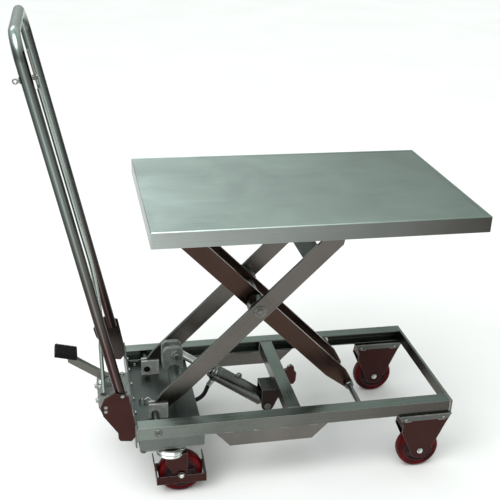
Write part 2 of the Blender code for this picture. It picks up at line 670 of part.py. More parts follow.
def brake(side, sign, holder, wheel):
    """Foot frame around the wheel: two strips, two ends and their pedals."""
    middle = WHEEL_Y * sign
    x, z = (wheel.x - 0.0550, wheel.x + 0.0563), (0.031, 0.052)
    inner, outer, end = 0.0232, 0.0262, 0.0025
    rim = [(x[0], middle - outer), (x[1], middle - outer), (x[1], middle + outer), (x[0], middle + outer)]
    hole = [(x[0] + end, middle - inner), (x[1] - end, middle - inner), (x[1] - end, middle + inner),
            (x[0] + end, middle + inner)]
    frame = slab([rim, hole], z, "XY")
    pedals = [slab([[(x[0], z[1] - 0.004), (x[0] + end, z[1] - 0.004), (x[0] - 0.004, 0.088),
                     (x[0] - 0.0065, 0.088)]], (middle - 0.016, middle + 0.016)),
              slab([[(x[1] - end, z[1] - 0.004), (x[1], z[1] - 0.004), (x[1] - 0.0050, 0.087),
                     (x[1] - 0.0075, 0.087)]], (middle - 0.016, middle + 0.016))]
    ears = [cross_bar(wheel, mirrored_about((inner, outer), middle, a), 0.0105) for a in (-1.0, 1.0)]
    hole = cross_bar(wheel, (middle - 2 * outer, middle + 2 * outer), AXLE_RADIUS + GAP, 16)
    piece(f"rear_brake_{side}", frame, holder, STEEL, add=[*pedals, *ears], cut=[hole])


def wheel_set(name, wheel, wheel_holder, axle_holder):
    """Tyre, hub and axle of one castor."""
    half, radius, core = WHEEL_WIDTH / 2, WHEEL_RADIUS, 0.036
    tread = [(core + GAP, half), (radius - 0.008, half), (radius - 0.002, half - 0.003),
             (radius, half - 0.008)]
    profile = tread + [(r, -h) for r, h in reversed(tread)]
    piece(f"{name}_tyre", turned(profile, wheel, steps=28, ring=True), wheel_holder, RED_TYRE)
    bore = AXLE_RADIUS + GAP
    face = [(bore, 0.0175), (0.014, 0.0175), (0.016, 0.0080), (0.030, 0.0080), (core, 0.0140)]
    profile = face + [(r, -h) for r, h in reversed(face)]
    piece(f"{name}_hub", turned(profile, wheel, steps=20, ring=True), wheel_holder, HUB)
    reach = Vector((0.0, FORK_Y[1] + 0.006, 0.0))
    shaft = bar(wheel - reach, wheel + reach, AXLE_RADIUS, 16)
    piece(f"{name}_axle", shaft, axle_holder, CHROME)


# ---------------------------------------------------------------- the table
def build():
    root = body("table_root", (0.0, 0.0, 0.0))
    root.location = (SHIFT, 0.0, 0.0)
    outer = body("outer_arms_axis", PIVOT, root)
    inner = body("inner_arms_axis", CENTRE, outer)
    table = body("deck_axis", DECK_PIVOT, inner)
    barrel = body("cylinder_axis", CLEVIS, root)
    rod = body("rod_axis", ROD_EYE, barrel)
    pedal = body("pedal_axis", PEDAL_PIVOT, root)
    plunger = body("plunger_axis", (-0.447, 0.0, PUMP_Z[1]), root)
    lever = body("release_lever_axis", LEVER_PIVOT, root)
    pull = body("release_rod_axis", LEVER_PIVOT, root)

    for make in (rails, front_end_bar, rear_pan, cross_member, side_gussets, pivot_blocks,
                 cylinder_clevis, castor_plates, handle_tube, handle_brackets, pump_body, hydraulic_hose):
        make(root)
    for make in (outer_arms, outer_cross_plate, lift_cross_tube, lift_knuckle, upper_axle):
        make(outer)
    for make in (inner_arms, centre_tube, lower_axle):
        make(inner)
    for make in (deck_frame, deck_tracks, deck_pivot_shaft):
        make(table)
    cylinder_barrel(barrel)
    piston_rod(rod)
    pump_plunger(plunger)
    pedal_arm(pedal)
    pedal_pad(pedal)
    release_lever(lever)
    release_rod(pull)

    for side, sign in SIDES.items():
        spin = body(f"lower_roller_{side}_axis", LOWER_AXLE, inner)
        roller(f"lower_roller_{side}", LOWER_AXLE, mirrored((0.156, 0.172), sign), spin)
        spin = body(f"upper_roller_{side}_axis", UPPER_AXLE, outer)
        roller(f"upper_roller_{side}", UPPER_AXLE, mirrored((0.103, 0.117), sign), spin)

        wheel = Vector((FRONT_WHEEL_X, WHEEL_Y * sign, WHEEL_RADIUS))
        front_fork(side, sign, root, wheel)
        spin = body(f"front_wheel_{side}_axis", wheel, root)
        wheel_set(f"front_{side}", wheel, spin, root)

        wheel = Vector((REAR_WHEEL_X, WHEEL_Y * sign, WHEEL_RADIUS))
        swivel = body(f"rear_swivel_{side}_axis", (SWIVEL_X, WHEEL_Y * sign, 0.1), root)
        rear_fork(side, sign, swivel, wheel)
        spin = body(f"rear_wheel_{side}_axis", wheel, swivel)
        wheel_set(f"rear_{side}", wheel, spin, swivel)
        rock = body(f"rear_brake_{side}_axis", wheel, swivel)
        brake(side, sign, rock, wheel)


build()
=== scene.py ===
"""Looks of the scissor lift table: finishes, fasteners, welds, wheels, light and camera."""
import json
import math

import bmesh
import bpy
from mathutils import Matrix, Vector

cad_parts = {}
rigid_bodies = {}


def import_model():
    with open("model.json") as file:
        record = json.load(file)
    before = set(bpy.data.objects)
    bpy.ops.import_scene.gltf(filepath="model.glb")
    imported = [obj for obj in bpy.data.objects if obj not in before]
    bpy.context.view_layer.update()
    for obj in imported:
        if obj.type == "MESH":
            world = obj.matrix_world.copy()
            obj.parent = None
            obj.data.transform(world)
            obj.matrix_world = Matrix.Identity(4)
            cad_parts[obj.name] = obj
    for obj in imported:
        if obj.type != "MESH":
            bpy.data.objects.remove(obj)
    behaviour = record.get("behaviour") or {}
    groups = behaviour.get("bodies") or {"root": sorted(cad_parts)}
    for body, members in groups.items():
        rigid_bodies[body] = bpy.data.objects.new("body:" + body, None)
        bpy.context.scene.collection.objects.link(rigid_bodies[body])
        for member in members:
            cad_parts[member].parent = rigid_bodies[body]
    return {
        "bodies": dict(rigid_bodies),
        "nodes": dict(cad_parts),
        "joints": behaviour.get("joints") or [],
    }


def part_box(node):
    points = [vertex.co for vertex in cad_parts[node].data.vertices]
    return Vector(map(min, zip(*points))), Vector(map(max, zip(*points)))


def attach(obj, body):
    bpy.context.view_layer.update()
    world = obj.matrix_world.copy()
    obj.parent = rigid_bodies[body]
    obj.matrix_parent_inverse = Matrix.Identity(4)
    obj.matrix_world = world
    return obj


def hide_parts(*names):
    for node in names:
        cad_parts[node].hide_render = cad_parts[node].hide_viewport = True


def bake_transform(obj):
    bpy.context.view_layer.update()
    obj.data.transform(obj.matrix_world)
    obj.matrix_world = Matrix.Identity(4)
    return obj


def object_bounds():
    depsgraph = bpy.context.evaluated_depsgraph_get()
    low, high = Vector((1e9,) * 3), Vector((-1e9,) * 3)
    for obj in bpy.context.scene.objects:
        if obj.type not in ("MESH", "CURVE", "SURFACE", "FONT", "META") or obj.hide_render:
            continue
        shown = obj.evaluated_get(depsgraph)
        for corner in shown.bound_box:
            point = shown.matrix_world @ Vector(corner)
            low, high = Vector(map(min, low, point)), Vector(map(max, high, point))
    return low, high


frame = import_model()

cad_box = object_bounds()

JOINTS = {joint["name"]: joint for joint in frame["joints"]}
SIDES = {"left": 1.0, "right": -1.0}
UP = Vector((0.0, 0.0, 1.0))
ACROSS_TABLE = Vector((0.0, 1.0, 0.0))


# ---------------------------------------------------------------- places in the frame
def low(node):
    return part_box(node)[0]


def high(node):
    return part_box(node)[1]


def middle(node):
    return (low(node) + high(node)) / 2


def half_height(node):
    return (high(node).z - low(node).z) / 2


def half_width(node):
    return (high(node).y - low(node).y) / 2


def pivot(joint):
    return Vector(JOINTS[joint]["pos_m"])


def axis(joint):
    return Vector(JOINTS[joint]["axis"])


def body_of(node):
    """The name of the body that a CAD node rides on."""
    holder = frame["nodes"][node].parent
    return next(name for name, empty in frame["bodies"].items() if empty == holder)


DECK_X = middle("deck_plate").x
RAIL_OUT = high("rail_left").y
RAIL_IN = low("rail_left").y
FOOT, CENTRE = pivot("lift"), pivot("scissor")
ALONG = (CENTRE - FOOT).normalized()                      # up the outer arms
ACROSS = Vector((-ALONG.z, 0.0, ALONG.x))
ARM_TURN = -math.atan2(ALONG.z, ALONG.x)                  # about Y, from X to the outer arms
STROKE = axis("rod_stroke")
FINE_BEAD, BEAD, WIDE_BEAD = 0.0016, 0.0018, 0.0020        # radii of the weld beads
CROSS_TUBE = 0.030                                        # width of the cross member's tube
BLOCK_OUT = 0.1030                                        # just outside the pivot blocks' outer walls
FRONT = axis("release_lever")                             # out of the handle's plane
LEAN = Vector((-FRONT.z, 0.0, FRONT.x))                   # up the handle's legs
LEG_TURN = -math.atan2(LEAN.z, LEAN.x)
TUBE = (high("handle_tube").y - abs(pivot("release_lever").y))   # radius of the handle's tube


def at(x, y, z):
    """A place given from the middle of the deck's length."""
    return Vector((DECK_X + x, y, z))


# ---------------------------------------------------------------- materials
def node(tree, kind, inputs=None, **settings):
    """A shader node with its settings and inputs; an input may be another node's output."""
    made = tree.nodes.new("ShaderNode" + kind)
    for key, value in settings.items():
        setattr(made, key, value)
    for key, value in (inputs or {}).items():
        if isinstance(value, bpy.types.NodeSocket):
            tree.links.new(value, made.inputs[key])
        else:
            made.inputs[key].default_value = value
    return made


def noise(tree, place, scale, detail=2.0, distortion=0.0):
    made = node(tree, "TexNoise", {"Vector": place, "Scale": scale, "Detail": detail,
                                   "Distortion": distortion})
    return made.outputs["Fac"]


def calc(tree, operation, first, second=0.0):
    made = node(tree, "Math", {0: first, 1: second}, operation=operation)
    return made.outputs[0]


def remap(tree, value, before, after):
    """value, with the span before stretched onto the span after and held at its ends."""
    made = node(tree, "MapRange", {"Value": value, "From Min": before[0], "From Max": before[1],
                                   "To Min": after[0], "To Max": after[1]})
    return made.outputs["Result"]


def mix(tree, share, first, second, kind="MIX"):
    made = tree.nodes.new("ShaderNodeMix")
    made.data_type = "RGBA"
    made.blend_type = kind
    for number, value in ((0, share), (6, first), (7, second)):
        if isinstance(value, bpy.types.NodeSocket):
            tree.links.new(value, made.inputs[number])
        else:
            made.inputs[number].default_value = value if number == 0 else (*value, 1.0)
    return made.outputs[2]


def grey(tree, value):
    """A number as a grey colour."""
    return node(tree, "CombineColor", {0: value, 1: value, 2: value}).outputs[0]


def edge_wear_and_highlight(tree, radius):
    """1 along sharp edges and 0 on open faces; materials lighten their colour by it, partly as edge wear and
    partly as a painted edge highlight.
    """
    soft = node(tree, "Bevel", {"Radius": radius}, samples=4).outputs["Normal"]
    true = node(tree, "NewGeometry").outputs["Normal"]
    turn = node(tree, "VectorMath", {0: soft, 1: true}, operation="DOT_PRODUCT").outputs["Value"]
    return remap(tree, turn, (0.995, 0.90), (0.0, 1.0))


def new_material(name, **constants):
    """A material, its node tree and its shader, with the shader's constant inputs set."""
    made = bpy.data.materials.new(name)
    made.use_nodes = True
    shader = made.node_tree.nodes["Principled BSDF"]
    for key, value in constants.items():
        shader.inputs[key.replace("_", " ")].default_value = value
    return made, made.node_tree, shader


def bumped(tree, shader, height, distance, strength=0.5):
    made = node(tree, "Bump", {"Height": height, "Distance": distance, "Strength": strength})
    tree.links.new(made.outputs["Normal"], shader.inputs["Normal"])


def brushed(name, side, top, roughness, turn=0.0, brush=1.0, lines=(9.0, 650.0), far_painted_shade=None,
            lit=(0.0, 0.0, 1.0), turnover=(0.15, 0.95), smears=1.0):
    """Brushed steel with fine lines along X turned about Y, smears and bright edges: partly edge
    wear, partly a painted edge highlight.

    Faces that look along lit take the top colour and the others the side colour, a painted
    reflection: lighter tops, darker sides. The far pair holds the side and top colours at the
    deck's +X end, darker there: a painted shade along the length."""
    made, tree, shader = new_material(name, Metallic=1.0)
    place = node(tree, "TexCoord").outputs
    grain = node(tree, "Mapping", {"Vector": place["Object"], "Rotation": (0.0, turn, 0.0),
                                   "Scale": (1 / lines[0], 1 / lines[1], 1 / lines[1])},
                 vector_type="TEXTURE").outputs["Vector"]
    fine = noise(tree, grain, 1.0, 3.0)
    smear = noise(tree, place["Object"], 6.5, 5.0, 0.8)
    grit = noise(tree, place["Object"], 260.0, 2.0)
    edge = edge_wear_and_highlight(tree, 0.0012)
    facing = node(tree, "VectorMath", {0: place["Normal"], 1: lit}, operation="DOT_PRODUCT").outputs["Value"]
    # Painted shade: side and top colours darken towards the deck's +X end.
    if far_painted_shade:
        along = node(tree, "SeparateXYZ", {"Vector": place["Object"]}).outputs["X"]
        share = remap(tree, along, (low("deck_plate").x, high("deck_plate").x), (0.0, 1.0))
        share = calc(tree, "POWER", share, 0.75)
        side, top = mix(tree, share, side, far_painted_shade[0]), mix(tree, share, top, far_painted_shade[1])
    # Painted reflection: faces that look along lit take the lighter top colour, the rest the darker side
    # colour.
    tint = mix(tree, remap(tree, facing, turnover, (0.0, 1.0)), side, top)
    smear_shade = remap(tree, smear, (0.30, 0.70), (1.0 - 0.20 * smears, 1.0 + 0.14 * smears))
    brush_shade = remap(tree, fine, (0.25, 0.75), (1.0 - 0.10 * brush, 1.0 + 0.08 * brush))
    shade = calc(tree, "MULTIPLY", smear_shade, brush_shade)
    tint = mix(tree, 1.0, tint, grey(tree, shade), "MULTIPLY")
    # Painted edge highlight, partly edge wear: sharp edges turn pale grey.
    tint = mix(tree, calc(tree, "MULTIPLY", edge, 0.45), tint, (0.62, 0.66, 0.63))
    tree.links.new(tint, shader.inputs["Base Color"])
    smear_rough = remap(tree, smear, (0.3, 0.7), (roughness - 0.05 * smears, roughness + 0.09 * smears))
    brush_rough = remap(tree, fine, (0.25, 0.75), (-0.05 * brush, 0.05 * brush))
    rough = calc(tree, "ADD", smear_rough, brush_rough)
    tree.links.new(rough, shader.inputs["Roughness"])
    height = calc(tree, "ADD", calc(tree, "MULTIPLY", fine, brush), calc(tree, "MULTIPLY", grit, 0.5))
    bumped(tree, shader, height, 0.00005, 0.45)
    return made


def tube_metal(name):
    """Polished tube with painted reflections: a painted highlight line down its side, painted dark edges,
    darker and browner towards its foot, and a painted highlight at its top.
    """
    made, tree, shader = new_material(name, Metallic=1.0)
    place = node(tree, "TexCoord").outputs
    smear = noise(tree, place["Object"], 9.0, 4.0, 0.6)
    fine = noise(tree, place["Object"], 420.0, 2.0)
    # Painted reflection: the colour bands follow how each face turns against a fixed direction.
    facing = node(tree, "VectorMath", {0: place["Normal"], 1: (0.95, -0.30, 0.10)},
                  operation="DOT_PRODUCT").outputs["Value"]
    height = node(tree, "SeparateXYZ", {"Vector": place["Object"]}).outputs["Z"]
    # Painted shade: darker and browner towards the foot, lighter higher up.
    wavering = calc(tree, "ADD", height, calc(tree, "MULTIPLY", smear, 0.12))
    painted_height_shade = remap(tree, wavering, (0.42, 0.80), (0.0, 1.0))
    tip = high("handle_tube").z
    # Painted highlight: the top of the handle turns pale.
    painted_top_highlight = remap(tree, height, (low("handle_tube").z * 0.06 + tip * 0.94, tip), (0.0, 1.0))
    shades = [mix(tree, painted_height_shade, (0.014, 0.005, 0.006), (0.024, 0.022, 0.026))]
    for turn, foot, head in (((-0.55, 0.00), (0.046, 0.018, 0.017), (0.130, 0.165, 0.150)),
                             ((0.02, 0.20), (0.150, 0.118, 0.108), (0.330, 0.375, 0.350)),
                             ((0.24, 0.50), (0.052, 0.032, 0.030), (0.145, 0.165, 0.155)),
                             ((0.70, 0.98), (0.022, 0.012, 0.012), (0.050, 0.048, 0.048))):
        share = remap(tree, facing, turn, (0.0, 1.0))
        shades.append(mix(tree, share, shades[-1], mix(tree, painted_height_shade, foot, head)))
    tint = mix(tree, painted_top_highlight, shades[-1], (0.50, 0.60, 0.565))
    shade = remap(tree, fine, (0.25, 0.75), (0.93, 1.06))
    tree.links.new(mix(tree, 1.0, tint, grey(tree, shade), "MULTIPLY"), shader.inputs["Base Color"])
    tree.links.new(remap(tree, smear, (0.3, 0.7), (0.22, 0.32)), shader.inputs["Roughness"])
    bumped(tree, shader, fine, 0.00003, 0.35)
    return made


def cast(name, tint, roughness, metallic=0.9, shine=(0.80, 0.82, 0.80)):
    """Sand-cast metal: pitted skin, bright along sharp edges, partly edge wear and partly a painted edge
    highlight.
    """
    made, tree, shader = new_material(name, Metallic=metallic)
    place = node(tree, "TexCoord").outputs["Object"]
    coarse = noise(tree, place, 90.0, 4.0, 0.4)
    pits = noise(tree, place, 520.0, 3.0)
    edge = edge_wear_and_highlight(tree, 0.0016)
    shade = calc(tree, "MULTIPLY", remap(tree, coarse, (0.3, 0.7), (0.70, 1.15)),
                 remap(tree, pits, (0.3, 0.7), (0.86, 1.08)))
    colour = mix(tree, 1.0, tint, grey(tree, shade), "MULTIPLY")
    # Painted edge highlight, partly edge wear: sharp edges take the shine colour.
    colour = mix(tree, calc(tree, "MULTIPLY", edge, 0.5), colour, shine)
    tree.links.new(colour, shader.inputs["Base Color"])
    tree.links.new(remap(tree, coarse, (0.3, 0.7), (roughness - 0.10, roughness + 0.12)),
                   shader.inputs["Roughness"])
    bumped(tree, shader, calc(tree, "ADD", calc(tree, "MULTIPLY", coarse, 2.0), pits), 0.00025, 0.55)
    return made


def plated(name, tint, roughness):
    """Bright plating with faint scratches and fingerprints."""
    made, tree, shader = new_material(name, Metallic=1.0)
    place = node(tree, "TexCoord").outputs["Object"]
    scratch = noise(tree, place, 700.0, 2.0, 1.5)
    prints = noise(tree, place, 35.0, 3.0)
    shade = remap(tree, prints, (0.35, 0.75), (1.0, 0.84))
    tree.links.new(mix(tree, 1.0, tint, grey(tree, shade), "MULTIPLY"), shader.inputs["Base Color"])
    tree.links.new(calc(tree, "ADD", remap(tree, prints, (0.4, 0.8), (roughness, roughness + 0.15)),
                        remap(tree, scratch, (0.55, 0.75), (0.0, 0.08))), shader.inputs["Roughness"])
    bumped(tree, shader, scratch, 0.00002, 0.35)
    return made


def polyurethane(name):
    """Red cast tyre: deep and glossy on its flanks, scuffed and dusty on the tread."""
    made, tree, shader = new_material(name, Specular_IOR_Level=0.10, Subsurface_Weight=0.05,
                                      Subsurface_Scale=0.004)
    place = node(tree, "TexCoord").outputs["Object"]
    cloud = noise(tree, place, 28.0, 4.0, 0.5)
    scuff = noise(tree, place, 260.0, 3.0, 0.8)
    edge = edge_wear_and_highlight(tree, 0.002)
    colour = mix(tree, remap(tree, cloud, (0.3, 0.7), (0.0, 1.0)), (0.026, 0.0008, 0.0014),
                 (0.110, 0.0016, 0.0040))
    dust = calc(tree, "MULTIPLY", remap(tree, scuff, (0.58, 0.72), (0.0, 0.4)),
                remap(tree, cloud, (0.45, 0.7), (0.05, 0.7)))
    colour = mix(tree, dust, colour, (0.12, 0.045, 0.040))
    # Painted edge highlight, partly edge wear: sharp edges turn a lighter red.
    colour = mix(tree, calc(tree, "MULTIPLY", edge, 0.25), colour, (0.20, 0.012, 0.020))
    tree.links.new(colour, shader.inputs["Base Color"])
    tree.links.new(calc(tree, "ADD", remap(tree, cloud, (0.3, 0.7), (0.34, 0.48)), dust),
                   shader.inputs["Roughness"])
    bumped(tree, shader, scuff, 0.00008, 0.5)
    return made


def rubber(name, tint, dusty):
    """Black rubber: matt, with a fine grain, greyer on its edges."""
    made, tree, shader = new_material(name, Metallic=0.0, Specular_IOR_Level=0.12)
    place = node(tree, "TexCoord").outputs["Object"]
    grain = noise(tree, place, 900.0, 2.0)
    cloud = noise(tree, place, 45.0, 4.0)
    edge = edge_wear_and_highlight(tree, 0.0015)
    colour = mix(tree, remap(tree, cloud, (0.35, 0.75), (0.0, 1.0)), tint, dusty)
    colour = mix(tree, calc(tree, "MULTIPLY", edge, 0.4), colour, (0.018, 0.0175, 0.017))
    tree.links.new(colour, shader.inputs["Base Color"])
    tree.links.new(remap(tree, cloud, (0.3, 0.7), (0.46, 0.68)), shader.inputs["Roughness"])
    bumped(tree, shader, grain, 0.0001, 0.6)
    return made


def weld_metal(name):
    """Weld bead: dull silver with straw and blue heat tints."""
    made, tree, shader = new_material(name, Metallic=1.0)
    place = node(tree, "TexCoord").outputs["Object"]
    cloud = noise(tree, place, 70.0, 3.0, 0.5)
    grit = noise(tree, place, 800.0, 2.0)
    warm = mix(tree, remap(tree, cloud, (0.35, 0.55), (0.0, 1.0)), (0.36, 0.38, 0.36), (0.27, 0.25, 0.22))
    tint = mix(tree, remap(tree, cloud, (0.56, 0.70), (0.0, 1.0)), warm, (0.20, 0.22, 0.28))
    tree.links.new(tint, shader.inputs["Base Color"])
    tree.links.new(remap(tree, grit, (0.3, 0.7), (0.30, 0.50)), shader.inputs["Roughness"])
    bumped(tree, shader, grit, 0.0001, 0.6)
    return made


def floor_paint(name):
    made, tree, shader = new_material(name, Metallic=0.0)
    place = node(tree, "TexCoord").outputs["Object"]
    cloud = noise(tree, place, 2.0, 3.0)
    colour = mix(tree, remap(tree, cloud, (0.3, 0.7), (0.0, 1.0)), (0.86, 0.86, 0.86), (0.89, 0.89, 0.885))
    tree.links.new(colour, shader.inputs["Base Color"])
    tree.links.new(remap(tree, cloud, (0.3, 0.7), (0.55, 0.65)), shader.inputs["Roughness"])
    return made


# Painted reflection: each brushed steel below gives its tops a lighter, greener colour and its sides a darker,
# browner one, standing in for a pale ceiling and a brown room mirrored in the steel.
PAINTED_GREEN_TOP_REFLECTION, PAINTED_BROWN_SIDE_REFLECTION, PAINTED_DARK_BROWN_REFLECTION = (0.195, 0.238, 0.215), (0.150, 0.140, 0.128), (0.050, 0.021, 0.019)
STEEL = brushed("brushed_stainless", PAINTED_BROWN_SIDE_REFLECTION, PAINTED_GREEN_TOP_REFLECTION, 0.28)
STEEL_ACROSS = brushed("brushed_stainless_across", PAINTED_BROWN_SIDE_REFLECTION, PAINTED_GREEN_TOP_REFLECTION, 0.28, lines=(650.0, 9.0))
# Painted shade: the rails darken towards the deck's +X end.
RAIL_STEEL = brushed("brushed_rails", (0.185, 0.205, 0.190), (0.33, 0.385, 0.355), 0.28,
                     far_painted_shade=((0.088, 0.077, 0.070), (0.165, 0.205, 0.185)))
PAN_STEEL = brushed("brushed_floor_pan", (0.135, 0.148, 0.140), (0.130, 0.148, 0.141), 0.32,
                    lines=(650.0, 9.0))
# Painted reflection: the lighter finish of the front forks' flange, above the bend.
FLANGE_STEEL = brushed("fork_flange", (0.115, 0.120, 0.112), PAINTED_GREEN_TOP_REFLECTION, 0.26, brush=0.6)
PIN_STEEL = brushed("dark_pin", (0.050, 0.048, 0.045), (0.12, 0.13, 0.125), 0.30, brush=0.4)
CLEVIS_STEEL = brushed("clevis_steel", (0.026, 0.017, 0.016), (0.055, 0.060, 0.055), 0.30, brush=0.5)
# Painted reflection: the far handle bracket's brown finish, a lighter copy of the near bracket's.
FAR_BRACKET = brushed("far_bracket_steel", (0.075, 0.060, 0.056), (0.12, 0.11, 0.105), 0.28, turn=math.pi / 2,
                      brush=0.5)
# Painted shade: the deck darkens towards its +X end; its top is much lighter than its sides, a painted
# reflection.
SHEET = brushed("brushed_deck", (0.41, 0.445, 0.430), (0.70, 0.83, 0.795), 0.34, lines=(5.0, 520.0),
                smears=0.55, far_painted_shade=((0.064, 0.060, 0.054), (0.26, 0.34, 0.305)))
OUTER_STEEL = brushed("brushed_outer_arms", (0.130, 0.118, 0.109), PAINTED_GREEN_TOP_REFLECTION, 0.28, turn=ARM_TURN)
INNER_STEEL = brushed("brushed_inner_arms", (0.060, 0.036, 0.029), (0.085, 0.070, 0.062), 0.28,
                      turn=-ARM_TURN)
# Painted reflection: the brown of the pressed steel of brackets and forks stands in for a brown room mirrored
# in stainless steel.
BROWN_STEEL = brushed("pressed_steel", PAINTED_DARK_BROWN_REFLECTION, (0.080, 0.060, 0.054), 0.28, turn=math.pi / 2, brush=0.5)
TUBE_STEEL = tube_metal("tube_painted_reflection")
# Painted reflection: the release rod is light on faces towards the lit direction and dark elsewhere.
WIRE_STEEL = brushed("polished_wire", (0.10, 0.11, 0.10), (0.42, 0.48, 0.44), 0.20, turn=LEG_TURN, brush=0.5,
                     lit=(0.90, -0.25, 0.35), turnover=(-0.65, 0.25))
# Painted highlight and shade: the barrel is lighter on its upper side and darker below.
BARREL_STEEL = brushed("barrel_steel", (0.062, 0.052, 0.049), (0.175, 0.190, 0.178), 0.25,
                       turn=math.atan2(-STROKE.z, STROKE.x), brush=0.6, lines=(300.0, 20.0),
                       turnover=(-0.6, 0.6))
DULL_STEEL = brushed("dull_bolt_steel", (0.10, 0.095, 0.090), (0.20, 0.215, 0.205), 0.34, brush=0.4)
CAST = cast("cast_steel", (0.235, 0.255, 0.243), 0.42, 0.6)
BRIGHT_CAST = cast("machined_cast", (0.47, 0.49, 0.46), 0.38, 0.35)
HUB = cast("cast_hub", (0.030, 0.006, 0.008), 0.46, 0.3, (0.10, 0.022, 0.026))
CHROME = plated("chrome_plate", (0.68, 0.71, 0.70), 0.12)
ZINC = plated("zinc_plate", (0.34, 0.36, 0.34), 0.24)
TYRE = polyurethane("red_polyurethane")
RUBBER = rubber("black_rubber", (0.0022, 0.0022, 0.0022), (0.006, 0.006, 0.0058))
HOSE = rubber("hose_rubber", (0.006, 0.005, 0.005), (0.016, 0.014, 0.013))
WELD = weld_metal("weld_bead")


# ---------------------------------------------------------------- shapes
def soften(bm, width, segments=2, limit=40.0):
    """Rounds the sharp edges of a shape."""
    sharp = [e for e in bm.edges
             if len(e.link_faces) == 2 and e.calc_face_angle(0.0) > math.radians(limit)]
    bmesh.ops.bevel(bm, geom=sharp, offset=width, segments=segments, profile=0.5,
                    affect="EDGES", clamp_overlap=True)
    bmesh.ops.dissolve_degenerate(bm, dist=1e-6, edges=bm.edges)
    return bm


def together(shapes):
    """Several loose shapes as one mesh."""
    whole = bmesh.new()
    for shape in shapes:
        mesh = bpy.data.meshes.new("shape")
        bmesh.ops.recalc_face_normals(shape, faces=shape.faces)
        shape.to_mesh(mesh)
        shape.free()
        whole.from_mesh(mesh)
        bpy.data.meshes.remove(mesh)
    return whole


def added(name, bm, look, body, replaced=()):
    """A finished piece on a body, in place of CAD nodes if any are named; None leaves it loose."""
    bmesh.ops.recalc_face_normals(bm, faces=bm.faces)
    mesh = bpy.data.meshes.new(name)
    bm.to_mesh(mesh)
    bm.free()
    mesh.materials.append(look)
    mesh.shade_smooth()
    mesh.set_sharp_from_angle(angle=math.radians(35.0))
    piece = bpy.data.objects.new(name, mesh)
    bpy.context.scene.collection.objects.link(piece)
    even = piece.modifiers.new("even_normals", "WEIGHTED_NORMAL")
    even.keep_sharp = True
    if body:
        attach(piece, body)
    if replaced:
        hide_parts(*replaced)
    return piece


def cad_shape(name):
    """A CAD node's shape with its flat faces whole."""
    bm = bmesh.new()
    bm.from_mesh(frame["nodes"][name].data)
    bmesh.ops.remove_doubles(bm, verts=bm.verts, dist=2e-6)
    bmesh.ops.dissolve_limit(bm, angle_limit=math.radians(1.0), verts=bm.verts, edges=bm.edges)
    return bm


def refined(name, look, width=0.0006, segments=2):
    """A CAD node with rounded edges and its real finish."""
    bm = soften(cad_shape(name), width, segments)
    return added(f"{name}_finish", bm, look, body_of(name), [name])


def repaint(piece, look, chosen):
    """Gives the faces whose middle passes a test a second finish."""
    piece.data.materials.append(look)
    for face in piece.data.polygons:
        if chosen(face.center):
            face.material_index = len(piece.data.materials) - 1


def pointed(direction):
    """The rotation from +Z to a direction."""
    return UP.rotation_difference(Vector(direction)).to_matrix().to_4x4()


def block(start, end):
    start, end = Vector(start), Vector(end)
    bm = bmesh.new()
    bmesh.ops.create_cube(bm, size=1.0)
    bmesh.ops.scale(bm, vec=[abs(a) for a in end - start], verts=bm.verts)
    bmesh.ops.translate(bm, vec=(start + end) / 2, verts=bm.verts)
    return bm


def lathe(profile, centre, direction=ACROSS_TABLE, steps=48, closed=False):
    """A profile of (radius, distance along the axis) turned about an axis."""
    bm = bmesh.new()
    verts = [bm.verts.new((radius, 0.0, height)) for radius, height in profile]
    pairs = list(zip(verts, verts[1:]))
    if closed:
        pairs.append((verts[-1], verts[0]))
    edges = [bm.edges.new(pair) for pair in pairs]
    bmesh.ops.spin(bm, geom=verts + edges, cent=(0, 0, 0), axis=(0, 0, 1),
                   angle=2 * math.pi, steps=steps, use_merge=True)
    bmesh.ops.remove_doubles(bm, verts=bm.verts, dist=1e-6)
    bm.transform(Matrix.Translation(Vector(centre)) @ pointed(direction))
    return bm


def folded(corners, across, thick):
    """A folded strip through (x, z) corners, between two places across the table."""
    bm = bmesh.new()
    outline = [*corners, *((x + thick, z) for x, z in reversed(corners))]
    face = bm.faces.new([bm.verts.new((x, across[0], z)) for x, z in outline])
    grown = bmesh.ops.extrude_face_region(bm, geom=[face])["geom"]
    bmesh.ops.translate(bm, vec=(0.0, across[1] - across[0], 0.0),
                        verts=[v for v in grown if isinstance(v, bmesh.types.BMVert)])
    bmesh.ops.recalc_face_normals(bm, faces=bm.faces)
    return bm


def rod(start, end, radius, chamfer=0.0006, steps=40):
    """A round bar with chamfered ends."""
    start, end = Vector(start), Vector(end)
    reach = (end - start).length
    profile = [(0.0, 0.0), (radius - chamfer, 0.0), (radius, chamfer), (radius, reach - chamfer),
               (radius - chamfer, reach), (0.0, reach)]
    return lathe(profile, start, end - start, steps)


def washer(centre, direction, radius, bore, thick=0.0012):
    profile = [(bore, 0.0), (radius, 0.0), (radius, thick), (bore, thick)]
    return soften(lathe(profile, centre, direction, 32, closed=True), 0.0003, 1)


def hexagon(centre, direction, across, thick):
    """A hexagonal head or nut with chamfered corners, standing on its centre."""
    corner = across / math.sqrt(3.0)
    profile = [(0.0, 0.0), (corner, 0.0), (corner, thick * 0.8), (corner * 0.84, thick), (0.0, thick)]
    return lathe(profile, centre, direction, 6)


def bolt(centre, direction, across=0.010, thick=0.0045, tip=0.0):
    """Washer and hexagon on a face; tip is the length of stud beyond the nut."""
    direction = Vector(direction).normalized()
    centre = Vector(centre)
    shapes = [washer(centre, direction, across * 0.78, across * 0.25),
              hexagon(centre + direction * 0.0012, direction, across, thick)]
    if tip:
        start = centre + direction * (0.001 + thick)
        shapes.append(rod(start, start + direction * tip, across * 0.28))
    return shapes


